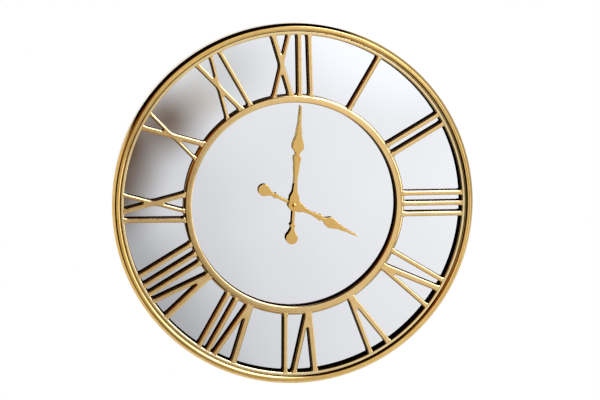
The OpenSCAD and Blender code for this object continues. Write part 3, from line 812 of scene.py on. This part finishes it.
    def casting(self, hour: int, strokes: Sequence[Stroke]) -> Mesh:
        """Raises a numeral from its outline, with rounded front edges.

        Args:
            hour: The hour, from 1 to 12.
            strokes: Its strokes.

        Returns:
            The mesh on the dial.
        """
        mesh, spin, thick = Draft(), spun(30 * hour), self.front - self.back
        for row in self.outlines(strokes):
            out = self.slope(row, strokes)
            radius = np.hypot(row[:, 0], row[:, 1])
            past = np.maximum(self.ring_out - radius, radius - self.lip_in) + self.tuck_lead
            tuck = np.clip(past / self.tuck_len, 0, 1)
            spare = np.minimum(radius - self.ring_out + self.tuck_in, self.lip_in + self.tuck_out - radius)
            keep = np.clip(spare / self.taper, self.least_inset, 1)
            inner = (row - out * self.dome_w)[keep == 1]
            domed = np.all(self.distance(inner, strokes) < -self.dome_share * self.dome_w)
            wide = self.dome_w if domed else self.round_w

            def layer(inset: float, drop: float) -> list[int]:
                """Adds the outline, moved in and back from the front.

                Args:
                    inset: How far in.
                    drop: How far back.

                Returns:
                    The numbers of its points.
                """
                flat = row - out * (inset * keep)[:, None]
                depth = np.maximum(self.front - drop - self.tuck_drop * tuck ** 2, self.back)
                return mesh.ring((x, y, d) for (x, y), d in zip(flat @ spin, depth))

            rows = [layer(self.bevel, thick), layer(0, thick - self.bevel)]
            for k in range(self.round_steps + 1):
                angle = math.pi / 2 * k / self.round_steps
                rows.append(layer(wide * (1 - math.cos(angle)), self.round_h * (1 - math.sin(angle))))
            rows.append(layer(wide + self.brim, 0))
            # black painted shade on the back and bevel, unpolished sides darkened as painted shade, a
            # polished front
            mesh.face(rows[0][::-1], 1)
            for place, (low, high) in enumerate(zip(rows, rows[1:])):
                mesh.skin(low, high, (1, 2, 0)[min(place, 2)])
            mesh.face(rows[-1])
        return mesh.data(f"numeral_{hour}_casting")


@dataclass
class Hand:
    """A flat spade hand with a collar, a hub and a round counterweight."""

    name: str
    body: str
    angle: float
    back: float
    length: float
    spade_w: float
    bore: float
    stations: Sequence[Point]
    finish: Finish
    # where the blade's back turns from black painted shade to a bright painted highlight
    bright_from: float = 1000.0
    thick: float = 1.0
    hub_r: float = 10.0
    weight_r: float = 10.0
    tail_at: float = 56.0
    tail: Sequence[Point] = (
        (0, 0.23), (-0.54, 0.23), (-0.62, 0.48), (-0.68, 0.26), (-0.73, 0.3), (-0.86, 0.6))
    boss_r: float = 4.4
    boss_t: float = 1.0
    boss_edge: float = 0.2
    edge: float = 0.3
    edge_round: float = 0.3
    brim: float = 0.1
    step: float = 0.6
    ease: float = 2.2
    ease_steps: int = 10
    tip: float = 0.4
    tip_share: float = 0.6
    bore_points: int = 33

    def half_width(self, y: float) -> float:
        """Measures half the width of the outline.

        Args:
            y: Distance from the pivot towards the tip.

        Returns:
            Half the width there.
        """
        found = 0.0
        for stations, length, width in ((self.stations, self.length, self.spade_w),
                                        (self.tail, self.tail_at, 2 * self.weight_r)):
            for (a, wa), (b, wb) in zip(stations, stations[1:]):
                if b * length <= y <= a * length:
                    t = (a * length - y) / ((a - b) * length)
                    found = max(found, (wa + (wb - wa) * t * t * (3 - 2 * t)) * width / 2)
        for middle, radius in ((0.0, self.hub_r), (-self.tail_at, self.weight_r)):
            found = max(found, math.sqrt(max(radius ** 2 - (y - middle) ** 2, 0)))
        return found

    def right_side(self) -> np.ndarray:
        """Returns the right half of the outline, from the tail to the tip."""
        low, high = -self.tail_at - self.weight_r, self.length
        ys = [low + self.ease * (i / self.ease_steps) ** 2 for i in range(self.ease_steps)]
        ys += list(np.linspace(low + self.ease, high - self.tip, round((high - low) / self.step)))
        return np.array([(0, low)] + [(self.half_width(y), y) for y in ys[1:]]
                        + [(self.half_width(high) * self.tip_share, high), (0, high)])

    def build(self) -> None:
        """Builds and dresses the hand."""
        mesh, spin, right = Draft(), spun(self.angle), self.right_side()
        loop = np.vstack([right, (right * [-1, 1])[-2:0:-1]])
        along = np.roll(loop, -1, 0) - np.roll(loop, 1, 0)
        out = np.stack([along[:, 1], -along[:, 0]], -1)
        out /= np.linalg.norm(out, axis=1, keepdims=True)

        def flat(points: np.ndarray, depth: float) -> list[int]:
            """Adds points of the upright hand at one depth."""
            return mesh.ring((x, y, depth) for x, y in points @ spin)

        back, top, edge = self.back, self.back + self.thick, self.edge
        soft, brim = edge * self.edge_round, edge + self.brim
        rows = [flat(loop - out * inset, depth) for inset, depth in (
            (brim, back), (edge, back), (0, back + edge), (0, top - edge), (soft, top - soft), (edge, top),
            (brim, top))]
        for place, (a, b) in enumerate(zip(rows, rows[1:])):
            mesh.skin(a, b, int(place == 0))
        bend = np.linspace(0, math.pi, self.bore_points)
        bore = self.bore * np.stack([np.sin(bend), -np.cos(bend)], -1)
        count = len(right)
        for depth, row, behind in ((back, rows[0], True), (top, rows[-1], False)):
            right_bore = flat(bore, depth)
            left_bore = [right_bore[0], *flat(bore[1:-1] * [-1, 1], depth), right_bore[-1]]
            # the blade's back is a bright painted highlight from here on, and black painted shade below
            cut = int(np.argmax(right[:, 1] > min(self.bright_from, self.length - 1))) if behind else 0
            axis = flat(np.array([[0, right[cut, 1]]]), depth) if cut else []
            for side, hole in ((row[:count], right_bore), ([row[0]] + row[:count - 2:-1], left_bore)):
                if cut:
                    mesh.face(side[cut:] + axis, 2)
                mesh.face((side[:cut + 1] + axis if cut else side) + hole[::-1], int(behind))
        sole = back - self.boss_t
        boss = [mesh.circle(radius, depth) for radius, depth in (
            (self.boss_r, back + self.brim), (self.boss_r, sole + self.boss_edge), (self.boss_r, sole),
            (self.bore, sole), (self.bore, back + self.brim))]
        for a, b in zip(boss, boss[1:] + boss[:1]):
            mesh.skin(a, b)
        show(self.name, mesh.data(self.name), self.body, [self.body + "_hand"],
             [self.finish, PAINTED_SHADE, HIGHLIT_BLADE_BACK])


@dataclass
class Dial:
    """Mirror, hands and the cap nut that holds them."""

    mirror_r: float = 286.5
    mirror_bore: float = 4.5
    mirror_front: float = 27.0
    mirror_back: float = 24.0
    ground: float = 0.5
    hour_back: float = 34.6
    minute_back: float = 38.7
    minute_len: float = 166.0
    hour_len: float = 120.0
    nut_profile: Sequence[Point] = (
        (NEAR_AXIS, 2.2), (1.5, 2.2), (1.5, 0), (3.4, 0), (3.6, 0.2), (3.6, 1.1), (3.3, 1.4), (3.0, 1.45),
        (2.8, 1.9), (2.3, 2.4), (1.6, 2.7), (0.8, 2.8), (NEAR_AXIS, 2.8))
    nut_seat: float = 1.0
    nut_segments: int = 64

    def build(self) -> None:
        """Builds and dresses the mirror, the hands and their nut."""
        self.mirror()
        Hand("hour_spade", "hour", HOUR_ANGLE, self.hour_back, self.hour_len, 18.0, 2.4,
             [(1, 0.13), (0.85, 0.24), (0.735, 0.44), (0.567, 1), (0.454, 0.32), (0.42, 0.56), (0.361, 0.4),
              (0.263, 0.29), (0.176, 0.4), (0.088, 0.89), (0, 1.07)], HOUR_GOLD).build()
        Hand("minute_spade", "minute", MINUTE_ANGLE, self.minute_back, self.minute_len, 19.2, 1.5,
             [(1, 0.13), (0.84, 0.22), (0.73, 0.43), (0.585, 1), (0.51, 0.3), (0.48, 0.63), (0.4, 0.45),
              (0.25, 0.26), (0.15, 0.38), (0.07, 0.84), (0, 1)], MINUTE_GOLD, bright_from=34.0).build()
        self.cap_nut()

    def mirror(self) -> None:
        """Builds the glass disc: silvered front, ground edges and a painted back."""
        g, front, back, bore, r = (self.ground, self.mirror_front, self.mirror_back, self.mirror_bore,
                                   self.mirror_r)
        section = [(bore, back), (bore, front - g / 2), (bore + g / 2, front), (r - g, front), (r, front - g),
                   (r, back + g), (r - g, back)]
        made = turned("mirror_disc", section, lambda r, d, n: 0 if n > FLAT else 2 if n < -FLAT else 1)
        show("mirror_disc", made, "frame", ["mirror_glass"], [SILVER, GLASS_EDGE, BACK_PAINT])

    def cap_nut(self) -> None:
        """Builds the domed cap nut with a slim flange."""
        base = self.minute_back + self.nut_seat
        section = [(r, base + h) for r, h in self.nut_profile]
        made = turned("cap_nut", section, segments=self.nut_segments)
        show("cap_nut", made, "minute", ["hand_nut"], [MINUTE_GOLD])


def softened(name: str, node: Object, finish: Finish, width: float) -> None:
    """Shows a copy of a fixed solid with its sharp edges broken.

    Args:
        name: Name of the piece.
        node: The solid that it is made from and stands for.
        finish: Its finish.
        width: Width of the broken edges.
    """
    data = node.data.copy()
    data.transform(DIAL.inverted() @ node.matrix_world)
    work = bmesh.new()
    work.from_mesh(data)
    bmesh.ops.remove_doubles(work, verts=work.verts, dist=WELD / MM)
    bmesh.ops.dissolve_limit(work, angle_limit=math.radians(1), verts=work.verts, edges=work.edges)
    sharp = [edge for edge in work.edges if edge.calc_face_angle(0.0) > SHARP]
    bmesh.ops.bevel(work, geom=sharp, offset=width, offset_type="OFFSET", segments=2, profile=0.5,
                    affect="EDGES", clamp_overlap=True)
    work.to_mesh(data)
    work.free()
    data.polygons.foreach_set("material_index", [0] * len(data.polygons))
    LOG.info("%s: %d broken edges", name, len(sharp))
    show(name, data, "frame", [node.name], [finish])


@dataclass
class BackFittings:
    """Movement shell, knob, cell, screws and other fittings on the back."""

    nodes: dict[str, Object]
    lug_count: int = 6
    screw_r: float = 276.4
    head_back: float = 16.8
    head_front: float = 18.4
    shank_front: float = 23.2
    case_back: float = 3.5
    knob_y: float = 13.5
    knob_r: float = 6.5
    knob_back: float = 1.2
    knob_front: float = 3.2
    grips: int = 18
    grip_at: float = 0.3
    grip_r: float = 0.8
    cell_r: float = 7.25
    cell_len: float = 50.4
    cell_end_r: float = 6.0
    cell_band: float = 14.5
    cell_segments: int = 96
    nub_r: float = 2.75
    cell_end: Place = (25.7, -20.65, 10.4)
    slot_deep: float = 0.8
    slot_share: float = 0.7
    mark_deep: float = 0.1
    mark_high: float = 0.25
    arrow_r: float = 9.1
    arrow_half: float = 0.5
    arrow_barb: float = 1.6
    pole_at: Point = (22.0, -8.0)
    pole_half: Point = (1.8, 0.4)

    def build(self) -> None:
        """Builds and dresses the fittings."""
        for node, slot, finish, width in (
                ("movement_case", "black_plastic", ABS, 0.35), ("rear_cover", "black_plastic", ABS, 0.35),
                ("panel_lugs", "zinc_steel", ZINC, 0.25), ("hanger_plate", "zinc_steel", ZINC, 0.3),
                ("hex_nut", "brass", BRASS, 0.3), ("flat_washer", "brass", BRASS, 0.15),
                ("rubber_washer", "rubber", RUBBER, 0.3)):
            softened(f"{node}_softened", self.nodes[node], finish, width)
        self.screws()
        self.knob()
        self.cell()
        self.marks()

    def knob(self) -> None:
        """Builds one grip of the setting knob and sets eighteen around its own axis."""
        mesh, half, steps, tiny = Draft(), math.pi / self.grips, 12, 1e-6
        angles = [half * (2 * i / steps - 1) for i in range(steps + 1)]

        def outline(angle: float) -> float:
            """Measures the knob's outline, which dips in the hollow of a grip.

            Args:
                angle: Angle from the middle of the hollow.

            Returns:
                The radius there.
            """
            reach = self.knob_r + self.grip_at
            across = self.grip_r ** 2 - (reach * math.sin(angle)) ** 2
            hollow = reach * math.cos(angle) - math.sqrt(max(across, 0))
            return min(self.knob_r, hollow) if across > 0 else self.knob_r

        def row(radius: float, inset: float, depth: float) -> list[int]:
            """Adds a row at a radius, or along the outline if that is 0."""
            reach = [radius or outline(a) - inset for a in angles]
            return mesh.ring((r * math.cos(a), r * math.sin(a), depth) for a, r in zip(angles, reach))

        back, front = self.knob_back, self.knob_front
        rows = [row(*at) for at in (
            (tiny, 0, back + 0.6), (2.4, 0, back + 0.6), (2.6, 0, back + 0.1), (2.75, 0, back),
            (0, 0.5, back), (0, 0.15, back + 0.1), (0, 0, back + 0.4), (0, 0, front - 0.3),
            (0, 0.3, front), (tiny, 0, front))]
        for low, high in zip(rows, rows[1:]):
            for i in range(steps):
                mesh.face((low[i], low[i + 1], high[i + 1], high[i]))
        made = grown("copies_around_axis", copies, mesh.data("knob_grip"), Count=self.grips)
        made.transform(Matrix.Translation((0, self.knob_y, 0)))
        show("ribbed_knob", made, "minute_work", ["setting_knob"], [ABS])

    def cell(self) -> None:
        """Builds the dry cell: a dark sleeve with a copper-coloured end, crimped over steel ends."""
        r, nub, far, band = self.cell_r, self.nub_r, self.cell_len, self.cell_band
        section = [(NEAR_AXIS, 0), (nub - 0.35, 0), (nub - 0.1, 0.1), (nub, 0.35), (nub, 1.2), (5.8, 1.2),
                   (5.95, 1.0), (r - 0.4, 1.0), (r - 0.1, 1.1), (r, 1.4), (r, band), (r, far - 0.4),
                   (r - 0.1, far - 0.1), (r - 0.4, far), (6.2, far), (6.05, far - 0.2),
                   (NEAR_AXIS, far - 0.2)]
        made = turned("dry_cell", section, lambda q, d, n: 2 if q < self.cell_end_r else int(d < band),
                      self.cell_segments)
        x, y, d = self.cell_end
        made.transform(Matrix(((0, 0, -1, x), (0, 1, 0, y), (1, 0, 0, d), (0, 0, 0, 1))))
        show("dry_cell", made, "battery", ["battery"], [SLEEVE, SLEEVE_BAND, BRIGHT])

    def marks(self) -> None:
        """Builds the raised marks on the cover: a turning arrow round the knob and the cell's poles."""
        mesh, depths = Draft(), (self.case_back + self.mark_deep, self.case_back - self.mark_high)

        def raised(outline: Sequence[Point]) -> None:
            """Adds a flat mark that stands out of the cover.

            Args:
                outline: Its points, in order.
            """
            rows = [mesh.ring((x, y, d) for x, y in outline) for d in depths]
            mesh.skin(*rows)
            mesh.face(rows[0])
            mesh.face(rows[1])

        tip, start, stop, steps = 38, 50, 130, 24
        swing = [math.radians(start + (stop - start) * i / steps) for i in range(steps + 1)]
        r, half, barb = self.arrow_r, self.arrow_half, self.arrow_barb
        bow = [(r + half, a) for a in swing[::-1]]
        bow += [(r + barb, swing[0]), (r, math.radians(tip)), (r - barb, swing[0])]
        bow += [(r - half, a) for a in swing]
        raised([(q * math.cos(a), self.knob_y + q * math.sin(a)) for q, a in bow])
        (x, y), pole = self.pole_at, self.pole_half
        for middle, (wide, high) in ((x, pole), (x, pole[::-1]), (-x, pole)):
            raised([(middle - wide, y - high), (middle + wide, y - high), (middle + wide, y + high),
                    (middle - wide, y + high)])
        show("cover_marks", mesh.data("cover_marks"), "frame", [], [ABS])

    def screws(self) -> None:
        """Builds one pan-head screw and sets six around the dial."""
        long, arm, count = 1.9, 0.4, 4
        corners = [(long, -arm), (long, arm), (arm, arm), (arm, long), (-arm, long), (-arm, arm),
                   (-long, arm), (-long, -arm), (-arm, -arm), (-arm, -long), (arm, -long), (arm, -arm)]
        cross = [(a[0] + (b[0] - a[0]) * k / count, a[1] + (b[1] - a[1]) * k / count)
                 for a, b in zip(corners, corners[1:] + corners[:1]) for k in range(count)]
        angles = [math.atan2(y, x) for x, y in cross]
        mesh = Draft()

        def circle(radius: float, depth: float) -> list[int]:
            """Adds a circle of the screw, with a point for each of the slot's."""
            return mesh.ring(
                (self.screw_r + radius * math.cos(a), radius * math.sin(a), depth) for a in angles)

        share, back, front = self.slot_share, self.head_back, self.head_front
        floor = mesh.ring((self.screw_r + share * x, share * y, back + self.slot_deep) for x, y in cross)
        rows = [floor, mesh.ring((self.screw_r + x, y, back) for x, y in cross)]
        rows += [circle(r, d) for r, d in (
            (2.3, back), (2.7, back + 0.15), (2.95, back + 0.5), (3.0, back + 0.9), (3.0, front),
            (1.5, front), (1.5, self.shank_front - 1), (0.9, self.shank_front))]
        for a, b in zip(rows, rows[1:]):
            mesh.skin(a, b)
        mesh.face(floor)
        mesh.face(rows[-1])
        made = grown("copies_around_axis", copies, mesh.data("pan_head_screw"), Count=self.lug_count)
        show("pan_head_screws", made, "frame", ["lug_screws"], [ZINC])


@dataclass
class KeptSolids:
    """Solids whose own shape is right, listed by finish."""

    names: dict[Finish, str] = field(default_factory=lambda: {
        FIBREBOARD: "back_panel", BRASS: "threaded_bush minute_arbor", COPPER: "coil_winding",
        BOARD: "circuit_board", EPOXY: "timing_chip",
        BRIGHT: "stator rotor quartz_crystal positive_contact negative_contact",
        ACETAL: "train_plate coil_bobbin intermediate_wheel seconds_wheel third_wheel clutch_wheel "
                "minute_work_wheel hour_wheel"})

    def dress(self, nodes: dict[str, Object]) -> None:
        """Puts each solid's finish in its material slots.

        Args:
            nodes: The loaded solids by name.
        """
        for finish, names in self.names.items():
            for name in names.split():
                data = nodes[name].data
                data.materials.clear()
                data.materials.append(finish.build())
                LOG.info("%s: %s", name, finish.name)


@dataclass
class Studio:
    """Camera, soft light, white surround and a pale floor.

    The side light is a slanted row of grey levels. A dim spot has a direction, the distances from it
    where it is full and where it ends, and a colour; only reflections see it. A wide zone has a
    direction, the cosines where it ends and where it is full, a colour and a level.
    """

    aim: Place = (0.0, -0.0425, DIAL_Z)
    away: Place = (-0.3216, -2.9602, 0.3656)
    sensor: float = 36.0
    lens: float = 108.0
    shift: Point = (0.0092, 0.0091)
    roll_deg: float = 0.27
    slant: Point = (0.8, 0.45)
    slant_span: float = 0.3
    cool: Place = (0.99, 1.0, 1.01)
    side_light: Sequence[Point] = (
        (-0.1, 0.3), (-0.046, 0.52), (-0.025, 0.74), (0.0, 0.86), (0.03, 0.93), (0.09, 1.02), (0.125, 1.06),
        (0.17, 0.6), (0.25, 0.55))
    dim_spots: Sequence[tuple[Place, float, float, str]] = (
        ((0.042, -0.992, -0.117), 0.0, 0.04, "#E8E8EA"), ((0.057, -0.9965, -0.061), 0.0, 0.02, "#CFC7BE"),
        ((0.038, -0.9965, -0.075), 0.0, 0.028, "#857568"), ((0.002, -0.9935, -0.114), 0.0, 0.039, "#593A0C"),
        ((0.011, -0.996, -0.089), 0.0, 0.038, "#593A0C"), ((0.07, -0.9965, -0.047), 0.0, 0.03, "#E2E2E1"),
        ((-0.1, -0.99, -0.01), 0.03, 0.08, "#6A3A10"), ((-0.14, -0.98, -0.12), 0.07, 0.125, "#140B04"),
        ((-0.22, -0.96, -0.14), 0.05, 0.14, "#140B04"), ((-0.38, -0.91, -0.17), 0.07, 0.18, "#140B04"),
        ((-0.56, -0.8, -0.2), 0.1, 0.22, "#140B04"), ((-0.2, -0.98, 0.03), 0.05, 0.13, "#9A5A1C"),
        ((-0.05, -0.98, -0.19), 0.02, 0.062, "#E6D6AC"), ((-0.036, -0.991, -0.125), 0.02, 0.048, "#E6D6AC"),
        ((-0.03, -0.995, -0.085), 0.02, 0.044, "#EEE0C8"))
    wide_zones: Sequence[tuple[Place, float, float, str, float]] = (
        ((0.45, 0.35, -0.82), 0.6, 0.82, "#FFFFFF", 0.92), ((0.1, -0.8, -0.59), 0.93, 0.98, "#FFFFFF", 0.85),
        ((-0.3, -0.65, -0.7), 0.9, 0.97, "#C08A44", 0.9), ((-0.46, -0.5, -0.73), 0.93, 0.96, "#FFF2DC", 0.8),
        ((0.62, -0.66, 0.42), 0.87, 0.96, "#DCE6FF", 2.0), ((0.43, -0.88, 0.2), 0.965, 0.992, "#E4ECFF", 1.5),
        ((0.4, -0.72, 0.57), 0.85, 0.96, "#CCDAFF", 4.8),
        ((0.17, -0.985, 0.02), 0.995, 0.9985, "#FAFCFF", 1.24),
        ((-0.6, -0.5, 0.62), 0.84, 0.91, "#C89A58", 0.9), ((-0.34, -0.88, 0.34), 0.9, 0.935, "#6A4618", 1.0),
        ((-0.3, -0.65, 0.7), 0.9, 0.94, "#5A3810", 1.0),
        ((-0.5, -0.83, 0.22), 0.93, 0.965, "#A8641F", 1.0),
        ((-0.2, -0.84, 0.5), 0.965, 0.985, "#140B04", 1.0),
        ((-0.52, -0.68, -0.5), 0.9, 0.94, "#0E0804", 1.0),
        ((-0.74, -0.62, -0.24), 0.88, 0.93, "#0E0804", 1.0),
        ((-0.68, -0.62, 0.38), 0.94, 0.975, "#86491A", 1.0),
        ((-0.58, -0.38, 0.72), 0.92, 0.96, "#0E0804", 1.0),
        ((-0.36, 0.2, 0.91), 0.6, 0.72, "#0E0804", 1.0), ((-0.9, 0.42, -0.05), 0.86, 0.93, "#FFFFFF", 0.95),
        ((-0.66, 0.42, -0.62), 0.82, 0.92, "#FFFFFF", 0.95), ((0.1, 0.95, 0.3), 0.72, 0.86, "#FFFFFF", 1.0))
    soft_lamps: Sequence[tuple[str, Place, float, float]] = (
        ("key_lamp", (1.25, -3.1, 1.8), 40.0, 1.4), ("fill_lamp", (2.8, -1.6, -0.5), 14.0, 1.8))
    floor_z: float = -4.0
    floor_r: float = 1.1
    scene: Scene = field(default_factory=lambda: bpy.context.scene)

    def build(self) -> None:
        """Sets the camera, the light and the surround."""
        self.scene.view_settings.view_transform = "Standard"
        self.camera()
        self.surround()
        self.lamps()
        self.floor()

    def camera(self) -> None:
        """Sets a long lens a little to the left of the dial and above it."""
        data = bpy.data.cameras.new("camera")
        data.sensor_width, data.lens = self.sensor, self.lens
        data.shift_x, data.shift_y = self.shift
        data.clip_end = 50.0
        camera = bpy.data.objects.new("camera", data)
        camera.location = Vector(self.aim) + Vector(self.away)
        look = (-Vector(self.away)).to_track_quat("-Z", "Y").to_matrix().to_4x4()
        camera.rotation_euler = (look @ Matrix.Rotation(math.radians(self.roll_deg), 4, "Z")).to_euler()
        self.scene.collection.objects.link(camera)
        self.scene.camera = camera

    def surround(self) -> None:
        """Makes a white surround for the camera, and a room of lights and darks for the reflections."""
        world = bpy.data.worlds.new("white_surround")
        self.scene.world = world
        world.use_nodes = True
        tree = world.node_tree
        tree.nodes.clear()
        way = add(tree, "ShaderNodeTexCoord").outputs["Generated"]
        slant = add(tree, "ShaderNodeVectorMath", {
            0: way, 1: (self.slant[0], 0, self.slant[1])}, operation="DOT_PRODUCT").outputs["Value"]
        place = add(tree, "ShaderNodeMapRange", {
            "Value": slant, "From Min": -self.slant_span, "From Max": self.slant_span}).outputs[0]
        ramp = add(tree, "ShaderNodeValToRGB", {0: place})
        stops = ramp.color_ramp.elements
        spots = [0.5 + spot / self.slant_span / 2 for spot, _ in self.side_light]
        stops[0].position, stops[1].position = spots[0], spots[-1]
        for spot in spots[1:-1]:
            stops.new(spot)
        for stop, (_, level) in zip(stops, self.side_light):
            stop.color = (*(level * c for c in self.cool), 1)
        seen = ramp.outputs["Color"]
        path = add(tree, "ShaderNodeLightPath").outputs
        shiny = add(tree, "ShaderNodeMath", {
            0: path["Is Glossy Ray"], 1: path["Is Transmission Ray"]}, operation="MAXIMUM").outputs[0]
        zones = [("DISTANCE", middle, edge, core, colour, 1.0)
                 for middle, core, edge, colour in self.dim_spots]
        zones += [("DOT_PRODUCT", *zone) for zone in self.wide_zones]
        for measure, middle, edge, full, colour, level in zones:
            apart = add(tree, "ShaderNodeVectorMath", {0: way, 1: middle}, operation=measure).outputs["Value"]
            share = add(tree, "ShaderNodeMapRange", {
                "Value": apart, "From Min": edge, "From Max": full},
                interpolation_type="SMOOTHSTEP").outputs[0]
            if measure == "DISTANCE":
                share = add(tree, "ShaderNodeMath", {0: share, 1: shiny}, operation="MULTIPLY").outputs[0]
            lit = (*(level * c for c in linear(colour)[:3]), 1.0)
            seen = add(tree, "ShaderNodeMix", {
                "Factor": share, "A": seen, "B": lit}, data_type="RGBA").outputs["Result"]
        room = add(tree, "ShaderNodeBackground", {"Color": seen, "Strength": 1.0}).outputs[0]
        white = add(tree, "ShaderNodeBackground", {"Color": linear("#FFFFFF"), "Strength": 1.0}).outputs[0]
        whole = add(tree, "ShaderNodeMixShader", {0: path["Is Camera Ray"], 1: room, 2: white}).outputs[0]
        add(tree, "ShaderNodeOutputWorld", {"Surface": whole})

    def lamps(self) -> None:
        """Hangs two soft lamps in front of the dial."""
        for name, place, power, size in self.soft_lamps:
            data = bpy.data.lights.new(name, "AREA")
            data.energy, data.size = power, size
            lamp = bpy.data.objects.new(name, data)
            lamp.location = place
            lamp.rotation_euler = (Vector(self.aim) - Vector(place)).to_track_quat("-Z", "Y").to_euler()
            self.scene.collection.objects.link(lamp)

    def floor(self) -> None:
        """Lays a pale round floor below the clock."""
        work = bmesh.new()
        bmesh.ops.create_circle(work, cap_ends=True, segments=96, radius=self.floor_r)
        data = bpy.data.meshes.new("floor")
        work.to_mesh(data)
        work.free()
        data.transform(Matrix.Translation((0, 0, self.floor_z)))
        data.materials.append(FLOOR_PAINT.build())
        piece = bpy.data.objects.new("floor", data)
        self.scene.collection.objects.link(piece)


def main() -> None:
    """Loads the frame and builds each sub-assembly in order."""
    logging.basicConfig(level=logging.INFO, format="%(message)s")
    for old in list(bpy.data.objects):
        bpy.data.objects.remove(old)
    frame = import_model()
    RimAndRings().build()
    Numerals().build()
    Dial().build()
    BackFittings(frame["nodes"]).build()
    KeptSolids().dress(frame["nodes"])
    Studio().build()


if __name__ == "__main__":
    main()
